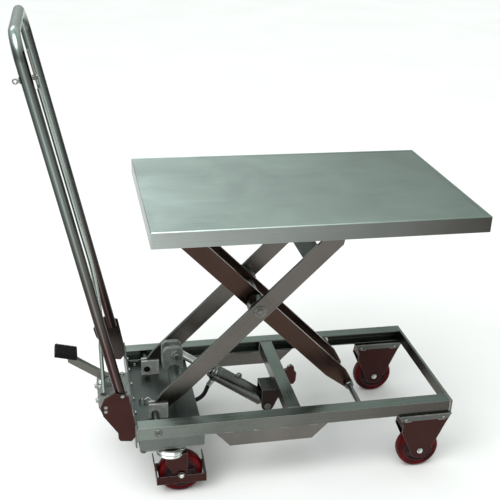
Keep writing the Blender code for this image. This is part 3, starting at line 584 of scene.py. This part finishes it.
def button(centre, direction, radius, thick):
    """Round head with a domed face and a small centre mark."""
    profile = [(0.0, thick * 0.82), (radius * 0.22, thick * 0.82), (radius * 0.26, thick),
               (radius * 0.7, thick * 0.97), (radius * 0.93, thick * 0.75), (radius, thick * 0.35),
               (radius, 0.0), (0.0, 0.0)]
    return lathe(profile, centre, direction, 36)


def sweep(path, radius, sides=24):
    """A round tube along a path; radius is one number or one for each point."""
    path = [Vector(point) for point in path]
    radii = radius if isinstance(radius, list) else [radius] * len(path)
    bm = bmesh.new()
    rings, side = [], None
    for number, point in enumerate(path):
        ahead = (path[min(number + 1, len(path) - 1)] - path[max(number - 1, 0)]).normalized()
        side = side or ahead.orthogonal()
        side = (side - ahead * side.dot(ahead)).normalized()
        over = ahead.cross(side)
        ring = []
        for step in range(sides):
            angle = 2 * math.pi * step / sides
            place = point + (side * math.cos(angle) + over * math.sin(angle)) * radii[number]
            ring.append(bm.verts.new(place))
        rings.append(ring)
    for first, second in zip(rings, rings[1:]):
        for step in range(sides):
            after = (step + 1) % sides
            bm.faces.new((first[step], first[after], second[after], second[step]))
    bm.faces.new(list(reversed(rings[0])))
    bm.faces.new(rings[-1])
    return bm


def smooth_path(route, between=6):
    """Catmull-Rom curve through the route's points."""
    ends = [route[0] * 2 - route[1], *route, route[-1] * 2 - route[-2]]
    path = []
    for a, b, c, d in zip(ends, ends[1:], ends[2:], ends[3:]):
        for i in range(between):
            t = i / between
            path.append(0.5 * (2 * b + (c - a) * t + (2 * a - 5 * b + 4 * c - d) * t ** 2
                               + (3 * b - a - 3 * c + d) * t ** 3))
    return [*path, route[-1]]


def bead(start, end, radius=0.0022):
    """A weld bead: overlapping ripples along a line, drawn in at its ends."""
    start, end = Vector(start), Vector(end)
    length = (end - start).length
    steps = max(8, int(length / 0.0007))
    path, radii = [], []
    for step in range(steps + 1):
        share = step / steps
        ripple = abs(math.sin(share * length / 0.0030 * math.pi))
        wander = math.sin(share * length * 310.0 + start.x * 40.0) * 0.06
        close = min(1.0, share * steps / 3.0, (1.0 - share) * steps / 3.0)
        path.append(start.lerp(end, share))
        radii.append(radius * (0.30 + 0.70 * close) * (0.86 + 0.14 * ripple + wander))
    return sweep(path, radii, 8)


def ring(centre, direction, radius, thick, steps=48, sides=12):
    """A round wire ring."""
    profile = [(radius + thick * math.cos(2 * math.pi * i / sides),
                thick * math.sin(2 * math.pi * i / sides)) for i in range(sides)]
    return lathe(profile, centre, direction, steps, closed=True)


# ---------------------------------------------------------------- deck
def deck():
    """Tray of folded sheet: the top is dished by a hair inside its rolled edge."""
    bm = cad_shape("deck_plate")
    soften(bm, 0.0009, 3, 30.0)
    top = max((f for f in bm.faces if f.normal.z > 0.99), key=lambda f: f.calc_area())
    bmesh.ops.inset_region(bm, faces=[top], thickness=0.0075, use_even_offset=True)
    bmesh.ops.inset_region(bm, faces=[top], thickness=0.0008, depth=-0.0006, use_even_offset=True)
    added("deck_plate_finish", bm, SHEET, "deck", ["deck_plate"])
    for side in SIDES:
        refined(f"deck_track_{side}", STEEL)
    shaft = middle("deck_pivot_shaft")
    reach = high("deck_pivot_shaft").y
    radius = half_height("deck_pivot_shaft")
    bar = rod(shaft - ACROSS_TABLE * reach, shaft + ACROSS_TABLE * reach, radius)
    added("deck_pivot_shaft_finish", bar, CHROME, "deck", ["deck_pivot_shaft"])
    clips = []
    for sign in SIDES.values():
        clips.append(ring(shaft + ACROSS_TABLE * sign * (reach - 0.0028), ACROSS_TABLE, radius, 0.0010))
    added("deck_pivot_clips", together(clips), ZINC, "deck")
    under = high("deck_track_left").z
    beads = []
    for side, sign in SIDES.items():
        inner, outer = low(f"deck_track_{side}"), high(f"deck_track_{side}")
        edge = outer.y if sign > 0 else inner.y
        for number in range(5):
            x = inner.x + 0.010 + number * 0.078
            beads.append(bead((x, edge, under), (x + 0.026, edge, under), BEAD))
        for corner in (low("deck_plate").x, high("deck_plate").x):
            y = (high("deck_plate").y - 0.0024) * sign
            inward = corner + (0.0024 if corner < DECK_X else -0.0024)
            beads.append(bead((inward, y, low("deck_plate").z + 0.001), (inward, y, under - 0.001), FINE_BEAD))
    added("deck_welds", together(beads), WELD, "deck")


# ---------------------------------------------------------------- base frame
def base_frame():
    for side in SIDES:
        refined(f"rail_{side}", RAIL_STEEL, 0.0016, 3)
        refined(f"side_gusset_{side}", STEEL, 0.0014, 2)
        refined(f"rear_castor_plate_{side}", STEEL)
    refined("front_end_bar", STEEL_ACROSS, 0.0012, 2)
    tube = refined("cross_member", STEEL_ACROSS, 0.0012, 2)
    cross_back = low("cross_member").x
    cross_front = cross_back + CROSS_TUBE
    repaint(tube, BROWN_STEEL, lambda place: place.x > cross_front + 0.0005)
    top, width = high("cross_member"), 0.0085
    stop = ring((top.x - 0.0148, 0.012, top.z - width), ACROSS_TABLE, width - 0.0012, 0.0016)
    added("stop_lug_ring", stop, CHROME, "base")
    refined("rear_pan", PAN_STEEL, 0.0008, 2)
    refined("cylinder_clevis", CLEVIS_STEEL)
    for side in SIDES:
        block_piece = refined(f"pivot_block_{side}", BRIGHT_CAST, 0.0007)
        repaint(block_piece, PIN_STEEL, lambda place: abs(place.y) > BLOCK_OUT
                and (place.x - FOOT.x) ** 2 + (place.z - FOOT.z) ** 2 < 0.0083 ** 2)
        repaint(block_piece, PIN_STEEL, lambda place: abs(place.y) < low("pivot_block_left").y + 0.0012)

    rail_top, rail_low = high("rail_left").z, low("rail_left").z
    back, front = low("rail_left").x, high("rail_left").x
    beads = []
    for sign in SIDES.values():
        outer, inner = RAIL_OUT * sign, RAIL_IN * sign
        beads.append(bead((front, inner, rail_top - 0.0004), (front, outer, rail_top - 0.0004), BEAD))
        beads.append(bead((front, outer, rail_low), (front, outer, rail_top), BEAD))
        beads.append(bead((back, outer, rail_low), (back, outer, rail_top), WIDE_BEAD))
        beads.append(bead((back, inner, rail_top), (back, outer, rail_top), WIDE_BEAD))
        for x in (cross_back, cross_front):
            beads.append(bead((x, inner, rail_low), (x, inner, rail_top), WIDE_BEAD))
        beads.append(bead((cross_back, inner, rail_top), (cross_front, inner, rail_top), FINE_BEAD))
        gusset = (low("side_gusset_left").x, high("side_gusset_left").x)
        for number in range(4):
            x = gusset[0] + 0.020 + number * 0.064
            beads.append(bead((x, outer, rail_low), (x + 0.022, outer, rail_low), FINE_BEAD))
            beads.append(bead((x, inner, rail_low), (x + 0.022, inner, rail_low), FINE_BEAD))
        pan = (low("rear_pan").x, high("rear_pan").x)
        for number in range(3):
            x = pan[0] + 0.012 + number * 0.050
            y = inner - 0.001 * sign
            beads.append(bead((x, y, rail_low), (x + 0.024, y, rail_low), BEAD))
    for side, sign in SIDES.items():
        fork_low, fork_high = low(f"pivot_block_{side}"), high(f"pivot_block_{side}")
        near = fork_low.y if sign > 0 else fork_high.y
        for x in (FOOT.x - 0.0125, FOOT.x + 0.0295):
            beads.append(bead((x, near, fork_low.z), (x, near + sign * 0.016, fork_low.z), BEAD))
        beads.append(bead((FOOT.x - 0.012, near, fork_low.z), (FOOT.x + 0.029, near, fork_low.z), WIDE_BEAD))
    clevis = low("cylinder_clevis"), high("cylinder_clevis")
    for y in (clevis[0].y, clevis[1].y):
        beads.append(bead((clevis[0].x + 0.030, y * 0.9, rail_low), (clevis[1].x, y * 0.9, rail_low), BEAD))
    added("frame_welds", together(beads), WELD, "base")

    pins = []
    pin_end = [(0.0, 0.0006), (0.0050, 0.0006), (0.0056, 0.0014), (0.0082, 0.0014), (0.0092, 0.0003),
               (0.0092, 0.0), (0.0, 0.0)]
    for sign in SIDES.values():
        face = Vector((FOOT.x, (RAIL_OUT + 0.0003) * sign, FOOT.z))
        pins.append(lathe(pin_end, face, ACROSS_TABLE * sign, 40))
    added("pivot_pin_ends", together(pins), DULL_STEEL, "base")


def pan_details():
    """Fasteners on the floor and its flanges, and the eye for the release wire."""
    pan_back, flange = low("rear_pan").x + 0.0040, high("rear_pan").z
    shapes = []
    for y in (0.008, -0.054, -0.109, 0.070, 0.120):
        shapes += bolt((pan_back, y, flange - 0.014), (1, 0, 0), 0.0085, 0.0035)
    for sign in SIDES.values():
        plate = low("rear_castor_plate_left"), high("rear_castor_plate_left")
        for x in (plate[0].x + 0.008, plate[1].x - 0.006):
            for y in (plate[0].y + 0.0055, plate[1].y - 0.0035):
                shapes += bolt((x, y * sign, plate[0].z), (0, 0, -1), 0.0080, 0.0036)
        for x in (FOOT.x - 0.026, FOOT.x + 0.046):
            shapes += bolt((x, 0.136 * sign, plate[1].z + 0.027), (0, 0, 1), 0.0085, 0.0035)
    added("pan_bolts", together(shapes), ZINC, "base")

    eye = at(-0.356, -0.037, 0.1530)
    route = [eye + Vector(step) for step in ((0.004, 0.001, 0.002), (0.014, 0.004, 0.006),
                                             (0.021, -0.002, 0.002), (0.026, -0.010, -0.0025))]
    wire = [ring(eye, (0.3, 1.0, 0.0), 0.0062, 0.0016),
            rod(eye - UP * 0.0045, eye - UP * 0.0090 + UP * 0.004, 0.0030),
            sweep(smooth_path(route), 0.0019, 12)]
    added("floor_eye", together(wire), ZINC, "base")


# ---------------------------------------------------------------- arms and lift
def arms():
    for side in SIDES:
        refined(f"outer_arm_{side}", OUTER_STEEL, 0.0009, 2)
        refined(f"inner_arm_{side}", INNER_STEEL, 0.0009, 2)
    refined("outer_cross_plate", STEEL_ACROSS, 0.0008, 2)
    refined("lift_knuckle", CAST, 0.0014, 3)

    inner_y, outer_y = high("inner_arm_left").y, low("outer_arm_left").y
    end = high("centre_tube").y
    gap = 0.0003
    half = [(0.014, 0.0), (0.014, low("inner_arm_left").y - gap), (0.012, low("inner_arm_left").y - gap),
            (0.012, inner_y + gap), (0.0195, inner_y + gap), (0.0195, inner_y + 0.006),
            (0.0240, inner_y + 0.009), (0.0240, outer_y - gap), (0.010, outer_y - gap),
            (0.010, high("outer_arm_left").y + gap), (0.0130, high("outer_arm_left").y + gap),
            (0.0130, high("outer_arm_left").y + 0.0018), (0.0088, high("outer_arm_left").y + 0.0018),
            (0.0088, end - 0.0012), (0.0078, end), (0.0038, end), (0.0030, end - 0.0008), (0.0, end - 0.0008)]
    profile = [(r, -h) for r, h in reversed(half)] + half[1:]
    added("centre_tube_finish", soften(lathe(profile, CENTRE, ACROSS_TABLE, 56), 0.0004, 1), STEEL_ACROSS,
          "inner_arms", ["centre_tube"])

    radius = half_height("lift_cross_tube")
    bar, reach = middle("lift_cross_tube"), high("lift_cross_tube").y
    tube = rod(bar - ACROSS_TABLE * reach, bar + ACROSS_TABLE * reach, radius, 0.0005, 56)
    added("lift_cross_tube_finish", tube, STEEL_ACROSS, "outer_arms", ["lift_cross_tube"])
    seams = []
    for sign in SIDES.values():
        seams.append(ring(bar + ACROSS_TABLE * sign * (reach - 0.0004), ACROSS_TABLE, radius + 0.0002, 0.0017))
    for sign in SIDES.values():
        y = low("outer_arm_left").y * sign
        foot = CENTRE + ALONG * 0.151 + ACROSS * 0.0215
        seams.append(bead(foot + ACROSS_TABLE * y, foot + ALONG * 0.041 + ACROSS_TABLE * y, BEAD))
    added("lift_welds", together(seams), WELD, "outer_arms")

    for name, body in (("upper_axle", "outer_arms"), ("lower_axle", "inner_arms")):
        centre, reach = middle(name), high(name).y
        radius = half_height(name)
        shapes = [rod(centre - ACROSS_TABLE * reach, centre + ACROSS_TABLE * reach, radius)]
        added(f"{name}_finish", together(shapes), DULL_STEEL, body, [name])
    for level in ("upper", "lower"):
        for side in SIDES:
            name = f"{level}_roller_{side}"
            centre, half = middle(name), half_width(name)
            radius = half_height(name)
            profile = [(0.0064, half), (0.0090, half), (0.0094, half - 0.0006),
                       (radius - 0.0008, half - 0.0006), (radius, half - 0.0016)]
            profile += [(r, -h) for r, h in reversed(profile)]
            added(f"{name}_finish", lathe(profile, centre, ACROSS_TABLE, 40, closed=True), CHROME, name,
                  [name])


def lower_ends():
    """Clamp collars where the inner arms take the lower axle."""
    axle = middle("lower_axle")
    shapes = []
    for sign in SIDES.values():
        face = high("inner_arm_left").y * sign
        shapes.append(lathe([(0.0063, 0.0), (0.0105, 0.0), (0.0105, 0.009), (0.0088, 0.011), (0.0063, 0.011)],
                            axle + ACROSS_TABLE * face, ACROSS_TABLE * sign, 40, closed=True))
    added("lower_axle_collars", together(shapes), DULL_STEEL, "inner_arms")


# ---------------------------------------------------------------- cylinder
def cylinder():
    foot = pivot("cylinder_swing")
    length, radius = 0.167, 0.019
    profile = [(0.0, 0.010), (0.013, 0.010), (0.017, 0.0135), (radius - 0.001, 0.0155), (radius, 0.0165),
               (radius, length - 0.020), (radius - 0.0008, length - 0.0195), (radius - 0.0008, length - 0.0185),
               (radius, length - 0.018), (radius, length - 0.0085), (radius - 0.0015, length - 0.007),
               (0.0165, length - 0.0065), (0.0165, length - 0.0012), (0.0155, length), (0.0115, length),
               (0.0108, length - 0.0012), (0.0094, length - 0.0012), (0.0094, length - 0.020)]
    barrel = lathe(profile, foot, STROKE, 56)
    eye = rod(foot - ACROSS_TABLE * 0.0222, foot + ACROSS_TABLE * 0.0222, 0.014, 0.0008)
    port_side = STROKE.cross(ACROSS_TABLE)
    if port_side.z > 0:
        port_side.negate()
    port = foot + STROKE * 0.147
    boss = rod(port + port_side * (radius - 0.002), port + port_side * (radius + 0.0010), 0.0072)
    lug_foot = foot + STROKE * 0.098 - port_side * (radius - 0.001)
    lug = lathe([(0.0, 0.0), (0.0075, 0.0), (0.0068, 0.006), (0.0050, 0.0095), (0.0, 0.0105)], lug_foot,
                -port_side, 32)
    added("cylinder_barrel_finish", together([barrel, eye, boss, lug]), BARREL_STEEL, "cylinder",
          ["cylinder_barrel"])
    added("cylinder_seam", ring(foot + STROKE * 0.0150, STROKE, radius - 0.0012, 0.0018), WELD, "cylinder")
    eye_centre = Vector((low("piston_rod").x + 0.013, 0.0, high("piston_rod").z - 0.013))
    shaft = rod(eye_centre - STROKE * 0.160, eye_centre - STROKE * 0.004, 0.009, 0.0005, 56)
    ball = rod(eye_centre - ACROSS_TABLE * 0.0092, eye_centre + ACROSS_TABLE * 0.0092, 0.013, 0.0010, 56)
    soften(ball, 0.0003, 1)
    added("piston_rod_finish", together([shaft, ball]), CHROME, "rod", ["piston_rod"])

    heads = []
    for sign in SIDES.values():
        face = eye_centre + ACROSS_TABLE * sign * high("lift_knuckle").y
        heads += bolt(face, ACROSS_TABLE * sign, 0.0130, 0.0040)
    added("knuckle_pin_heads", together(heads), ZINC, "outer_arms")
    heads = []
    for sign in SIDES.values():
        face = Vector((foot.x, high("cylinder_clevis").y * sign, foot.z))
        heads += [ring(face - ACROSS_TABLE * sign * 0.0012, ACROSS_TABLE, 0.0072, 0.0010),
                  button(face, ACROSS_TABLE * sign, 0.0068, 0.0010)]
    added("clevis_pin_clips", together(heads), DULL_STEEL, "base")
    hoses(port, port_side, radius)


def hoses(port, port_side, radius):
    """Pressure hose with its crimped ends."""
    reach = radius + 0.0016
    route = [at(-0.402, -0.020, 0.1336), at(-0.400, -0.020, 0.1240), at(-0.385, -0.021, 0.1180),
             at(-0.350, -0.025, 0.1230), at(-0.300, -0.030, 0.1320), at(-0.262, -0.031, 0.1350),
             at(-0.234, -0.030, 0.1385), at(-0.212, -0.024, 0.1480), port + port_side * 0.036,
             port + port_side * reach]
    path = smooth_path(route, 8)
    hose = added("hydraulic_hose_finish", sweep(path, 0.005, 20), HOSE, None, ["hydraulic_hose"])
    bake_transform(hose)

    crimp = [(0.0052, 0.0), (0.0062, 0.0006), (0.0062, 0.0030), (0.0056, 0.0036), (0.0062, 0.0042),
             (0.0062, 0.0066), (0.0056, 0.0072), (0.0062, 0.0078), (0.0062, 0.0110), (0.0052, 0.0116)]
    fitting = [lathe(crimp, port + port_side * (reach + 0.0045), port_side, 32),
               hexagon(port + port_side * (reach - 0.0004), port_side, 0.0125, 0.0050)]
    added("hose_fitting_cylinder", together(fitting), ZINC, "cylinder")
    lower = at(-0.402, -0.020, low("pump_body").z)
    fitting = [hexagon(lower - UP * 0.0002, -UP, 0.0125, 0.0040)]
    added("hose_fitting_pump", together(fitting), ZINC, "base")


# ---------------------------------------------------------------- handle and pump
def handle():
    """Bent tube, its brackets and their bolts, the release lever and its rod."""
    foot_z = low("handle_tube").z + TUBE * abs(LEAN.x)
    top_z = high("handle_tube").z - TUBE
    lever = pivot("release_lever")
    leg_y, bend = abs(lever.y), 0.048

    def leg(z, y):
        return lever + LEAN * ((z - lever.z) / LEAN.z) + ACROSS_TABLE * (y - lever.y)

    path = [leg(foot_z, -leg_y)]
    turn_z = top_z - bend * LEAN.z
    for sign in (-1.0, 1.0):
        steps = 16
        for step in range(steps + 1):
            angle = math.pi / 2 * (step if sign < 0 else steps - step) / steps
            y = sign * (leg_y - bend + bend * math.cos(angle))
            path.append(leg(turn_z + bend * math.sin(angle) * LEAN.z, y))
    path.append(leg(foot_z, leg_y))
    added("handle_tube_finish", sweep(path, TUBE, 40), TUBE_STEEL, "base", ["handle_tube"])

    shapes = []
    for side, sign in SIDES.items():
        # Painted light: the two brackets are one steel, the far one given a lighter copy of the near one's
        # brown finish.
        refined(f"handle_bracket_{side}", FAR_BRACKET if sign > 0 else BROWN_STEEL, 0.0009, 2)
        face = (high("handle_bracket_left").y if sign > 0 else low("handle_bracket_right").y)
        for x, z in ((-0.4085, 0.2620), (-0.4440, 0.2375), (-0.4443, 0.2270)):
            shapes += bolt(at(x, face, z), ACROSS_TABLE * sign, 0.0052, 0.0022)
            inner = face - sign * 0.0040
            if x > -0.44:
                continue
            shapes += bolt(at(x, inner, z), ACROSS_TABLE * -sign, 0.0052, 0.0022)
    added("bracket_bolts", together(shapes), ZINC, "base")

    refined("release_lever", STEEL, 0.0005, 2)
    back = lever - FRONT * TUBE
    shapes = [rod(back + FRONT * 0.001, back - FRONT * 0.0050, 0.0042),
              ring(back - FRONT * 0.0088, ACROSS_TABLE, 0.0042, 0.0015),
              *bolt(back, -FRONT, 0.0080, 0.0030)]
    added("lever_bolt_eye", together(shapes), ZINC, "base")
    head = lever + FRONT * 0.0215
    added("lever_bolt_head", button(head, FRONT, 0.0058, 0.0016), ZINC, "release_lever")

    def beside(distance, y, forward):
        """Along the leg from the handle's foot line, at y, in front of it."""
        return at(-0.3993, 0.0, 0.2) + LEAN * distance + FRONT * forward + ACROSS_TABLE * y

    route = [beside(0.728, -0.1450, 0.0165), beside(0.600, -0.1450, 0.0165), beside(0.450, -0.1450, 0.0165),
             beside(0.340, -0.1380, 0.0150), at(-0.4430, -0.1020, 0.3950), at(-0.4465, -0.0720, 0.3350),
             at(-0.4455, -0.0480, 0.2900), at(-0.4440, -0.0410, 0.2400), at(-0.4430, -0.0400, 0.1905)]
    wire = sweep(smooth_path(route, 8), 0.0045, 20)
    added("release_rod_finish", wire, WIRE_STEEL, "release_rod", ["release_rod"])


def pump():
    """Cast pump, its valve, plugs and bolts, the plunger, the lever and the tread."""
    refined("pump_body", CAST, 0.0022, 3)
    refined("pedal_arm", STEEL, 0.0008, 2)
    low_corner, high_corner = low("pump_body"), high("pump_body")
    top = low_corner.z + 0.0486
    plunger = middle("pump_plunger")
    head = high("pump_plunger").z
    stem = rod((plunger.x, 0.0, low("pump_plunger").z), (plunger.x, 0.0, head), 0.0055, 0.0012)
    added("pump_plunger_finish", stem, CHROME, "plunger", ["pump_plunger"])
    collar = lathe([(0.0060, 0.0), (0.0095, 0.0), (0.0095, 0.0035), (0.0085, 0.0045), (0.0060, 0.0045)],
                   (plunger.x, 0.0, top - 0.0004), UP, 36, closed=True)
    shapes = [collar]
    back = low_corner.x
    for y in (-0.030, 0.030):
        shapes += bolt((back, y, low_corner.z + 0.028), (-1, 0, 0), 0.0110, 0.0045)
    for y in (-0.038, 0.038):
        shapes += bolt((high_corner.x - 0.013, y, top), UP, 0.0090, 0.0040)
    for sign in SIDES.values():
        shapes += bolt((back + 0.022, 0.046 * sign, top - 0.018), ACROSS_TABLE * sign, 0.0120, 0.0050)
        shapes += bolt((back + 0.052, 0.046 * sign, top - 0.030), ACROSS_TABLE * sign, 0.0090, 0.0040)
    eye = pivot("pump_pedal")
    for sign in SIDES.values():
        shapes.append(button(eye + ACROSS_TABLE * 0.0148 * sign, ACROSS_TABLE * sign, 0.0060, 0.0020))
    added("pump_fittings", together(shapes), ZINC, "base")
    valve = at(-0.4430, -0.0400, 0.0)
    seat = Vector((valve.x, valve.y, top))
    boss = lathe([(0.0, 0.0), (0.0085, 0.0), (0.0085, 0.0010), (0.0, 0.0010)], seat - UP * 0.0002, UP, 36)
    added("release_valve", boss, ZINC, "base")

    tilt = math.radians(14.0)
    slope = Matrix.Translation(at(-0.5450, 0.0, 0.2905)) @ Matrix.Rotation(tilt, 4, "Y")
    tread = block((0.0, -0.0225, -0.0120), (0.050, 0.0225, -0.0020))
    ribs = [tread]
    for number in range(9):
        start = 0.0022 + number * 0.0052
        ribs.append(block((start, -0.0215, -0.0030), (start + 0.0036, 0.0215, 0.0)))
    for shape in ribs:
        soften(shape, 0.0008, 2)
    whole = together(ribs)
    whole.transform(slope)
    added("pedal_pad_finish", whole, RUBBER, "pedal", ["pedal_pad"])


# ---------------------------------------------------------------- castors
def tyre_and_hub(name, body):
    """Moulded tyre on a webbed hub with raised bearing caps."""
    centre = middle(f"{name}_tyre")
    radius = half_height(f"{name}_tyre")
    half = half_width(f"{name}_tyre")
    core = half_height(f"{name}_hub")
    outer = [(core, half - 0.0018), (core + 0.0014, half - 0.0004), (core + 0.003, half),
             (radius - 0.0095, half)]
    for step in range(7):
        angle = math.pi / 2 * step / 6
        outer.append((radius - 0.0075 + 0.0067 * math.sin(angle), half - 0.0075 + 0.0075 * math.cos(angle)))
    outer.append((radius, half - 0.0100))
    profile = outer + [(r, -h) for r, h in reversed(outer)]
    added(f"{name}_tyre_finish", lathe(profile, centre, ACROSS_TABLE, 72, closed=True), TYRE, body,
          [f"{name}_tyre"])
    cap = half_width(f"{name}_hub")
    face = [(0.0064, cap), (0.0105, cap), (0.0125, cap - 0.0006), (0.0140, cap - 0.0022), (0.0148, 0.0090),
            (0.0170, 0.0078), (0.0280, 0.0078), (0.0315, 0.0100), (0.0330, 0.0132), (0.0342, half - 0.0012),
            (core - 0.0003, half - 0.0012)]
    profile = face + [(r, -h) for r, h in reversed(face)]
    shapes = [lathe(profile, centre, ACROSS_TABLE, 60, closed=True)]
    for sign in SIDES.values():
        for number in range(5):
            angle = 2 * math.pi * number / 5
            out = Vector((math.cos(angle), 0.0, math.sin(angle)))
            side = ACROSS_TABLE * sign * 0.0070
            rib = sweep([centre + side + out * r for r in (0.013, 0.018, 0.024, 0.032)],
                        [0.0038, 0.0032, 0.0032, 0.0040], 12)
            shapes.append(rib)
    added(f"{name}_hub_finish", together(shapes), HUB, body, [f"{name}_hub"])


def axle(name, body):
    """Axle through a fork, with a washer and a hexagon on either side."""
    centre, reach = middle(name), half_width(name)
    start, end = centre - ACROSS_TABLE * (reach - 0.0045), centre + ACROSS_TABLE * (reach - 0.0045)
    shapes = [rod(start, end, 0.006)]
    for sign in SIDES.values():
        face = centre + ACROSS_TABLE * sign * (reach - 0.0056)
        shapes += bolt(face, ACROSS_TABLE * sign, 0.0088, 0.0040)
    added(f"{name}_finish", together(shapes), CHROME, body, [name])


def front_fork(name):
    """Pressed fork: a bright flange above the bend line and dark brown cheeks below it, one steel whose two
    finishes are a painted reflection.
    """
    bm = soften(cad_shape(name), 0.0011, 3)
    bend = high(name).z - 0.0135
    bmesh.ops.bisect_plane(bm, geom=[*bm.verts, *bm.edges, *bm.faces], dist=1e-6,
                           plane_co=(0.0, 0.0, bend), plane_no=UP)
    made = added(f"{name}_finish", bm, BROWN_STEEL, "base", [name])
    # Painted reflection: the flange above the bend takes the lighter flange finish.
    repaint(made, FLANGE_STEEL, lambda place: place.z > bend)


def castors():
    for side in SIDES:
        front, rear = f"front_{side}", f"rear_{side}"
        tyre_and_hub(front, f"front_wheel_{side}")
        axle(f"{front}_axle", "base")
        front_fork(f"front_fork_{side}")
        tyre_and_hub(rear, f"rear_wheel_{side}")
        axle(f"{rear}_axle", f"rear_castor_{side}")
        refined(f"rear_fork_{side}", BROWN_STEEL, 0.0009, 2)
        refined(f"rear_brake_{side}", BROWN_STEEL, 0.0007, 2)

        swivel = pivot(f"rear_swivel_{side}")
        plate = low(f"rear_castor_plate_{side}").z
        race = [(0.0, plate - 0.0006), (0.0245, plate - 0.0006), (0.0285, plate - 0.0022),
                (0.0318, plate - 0.0050), (0.0314, plate - 0.0078), (0.0285, plate - 0.0098),
                (0.0302, plate - 0.0104), (0.0322, plate - 0.0125), (0.0318, plate - 0.0150),
                (0.0240, plate - 0.0156), (0.0, plate - 0.0156)]
        added(f"rear_swivel_race_{side}", lathe(race, (swivel.x, swivel.y, 0.0), UP, 64), CHROME,
              f"rear_castor_{side}")

        fork = low(f"front_fork_{side}"), high(f"front_fork_{side}")
        inside = (fork[0].y + 0.0032, fork[1].y - 0.0032)
        corners = [(fork[0].x + 0.0012, fork[1].z - 0.0045), (fork[0].x + 0.0122, fork[1].z - 0.0150),
                   (fork[0].x + 0.0100, fork[1].z - 0.0340)]
        web = soften(folded(corners, inside, 0.0026), 0.0006, 2)
        added(f"front_fork_web_{side}", web, BROWN_STEEL, "base")

        shapes = []
        lip = fork[1].z - 0.0042
        for x in (fork[0].x + 0.010, fork[1].x - 0.010):
            shapes += bolt((x, (fork[0].y + fork[1].y) / 2, lip), -UP, 0.0090, 0.0040)
        added(f"front_fork_bolts_{side}", together(shapes), ZINC, "base")
        shapes = []
        for y, way in ((fork[0].y, -1), (fork[1].y, 1)):
            for x, reach in ((fork[0].x + 0.0135, 0.0165), (fork[1].x - 0.0330, 0.0195)):
                shapes.append(bead((x, y + way * 0.0002, fork[1].z - 0.0140),
                                   (x + reach, y + way * 0.0002, fork[1].z - 0.0137), 0.0016))
            for x in (fork[0].x + 0.016, fork[1].x - 0.020):
                shapes.append(button((x, y, fork[1].z - 0.0085), ACROSS_TABLE * way, 0.0030, 0.0014))
        added(f"front_fork_bright_{side}", together(shapes), ZINC, "base")
        flanges = []
        for edge in (fork[0].y, fork[1].y):
            start, end = (fork[0].x + 0.002, edge, fork[1].z), (fork[1].x - 0.002, edge, fork[1].z)
            flanges.append(bead(start, end, 0.0014))
        added(f"front_fork_welds_{side}", together(flanges), WELD, "base")


# ---------------------------------------------------------------- studio
def floor():
    bm = bmesh.new()
    bmesh.ops.create_grid(bm, x_segments=8, y_segments=8, size=9.0)
    bmesh.ops.translate(bm, vec=(DECK_X, 0.0, cad_box[0][2]), verts=bm.verts)
    mesh = bpy.data.meshes.new("floor")
    bm.to_mesh(mesh)
    bm.free()
    mesh.materials.append(floor_paint("pale_floor"))
    made = bpy.data.objects.new("floor", mesh)
    bpy.context.scene.collection.objects.link(made)


def world():
    made = bpy.data.worlds.new("studio")
    made.use_nodes = True
    tree = made.node_tree
    background = tree.nodes["Background"]
    height = node(tree, "SeparateXYZ", {"Vector": node(tree, "TexCoord").outputs["Generated"]}).outputs["Z"]
    colour = mix(tree, remap(tree, height, (0.05, 0.75), (0.0, 1.0)), (0.46, 0.45, 0.44), (0.92, 1.0, 0.96))
    colour = mix(tree, remap(tree, height, (0.72, 0.95), (0.0, 1.0)), colour, (0.56, 0.61, 0.585))
    tree.links.new(colour, background.inputs["Color"])
    background.inputs["Strength"].default_value = 0.80
    bpy.context.scene.world = made


def lamp(name, kind, place, target, power, mirrored=True):
    """A lamp that looks at a place; mirrored says whether polished steel shows it."""
    light = bpy.data.lights.new(name, kind)
    light.energy = power
    made = bpy.data.objects.new(name, light)
    made.location = Vector(place)
    made.rotation_euler = (Vector(target) - Vector(place)).to_track_quat("-Z", "Y").to_euler()
    made.visible_glossy = mirrored
    bpy.context.scene.collection.objects.link(made)
    return light


def lights():
    """A broad soft overhead source, a key from the left and a weak one from behind."""
    aim = at(0.0, 0.0, 0.4)
    overhead = lamp("overhead", "SUN", at(-0.8, -0.9, 3.0), aim, 2.0)
    overhead.angle = math.radians(60.0)
    for name, place, size, power in (("key", at(-1.9, -1.3, 2.2), (1.4, 1.4), 22.0),
                                     ("back", at(-1.4, 2.6, 3.2), (2.0, 1.0), 14.0)):
        box = lamp(name, "AREA", place, aim, power, mirrored=name == "back")
        box.shape = "RECTANGLE"
        box.size, box.size_y = size


def camera():
    """At the photograph's angle, with its slight roll."""
    turn, fall, roll = math.radians(-12.5484), math.radians(24.0856), math.radians(2.1398)
    ahead = Vector((-math.sin(turn) * math.cos(fall), math.cos(turn) * math.cos(fall), -math.sin(fall)))
    flat = ahead.cross(UP).normalized()
    upright = flat.cross(ahead)
    right = flat * math.cos(roll) + upright * math.sin(roll)
    over = upright * math.cos(roll) - flat * math.sin(roll)
    lens = bpy.data.cameras.new("camera")
    lens.lens = 62.97
    lens.sensor_width = 36.0
    made = bpy.data.objects.new("camera", lens)
    made.matrix_world = Matrix.Translation(at(-0.4950, -1.7450, 1.3049)) @ Matrix(
        (right, over, -ahead)).transposed().to_4x4()
    bpy.context.scene.collection.objects.link(made)
    bpy.context.scene.camera = made


for make in (camera, deck, base_frame, pan_details, arms, lower_ends, cylinder, handle, pump, castors,
             floor, world, lights):
    make()
bpy.context.scene.view_settings.view_transform = "Standard"
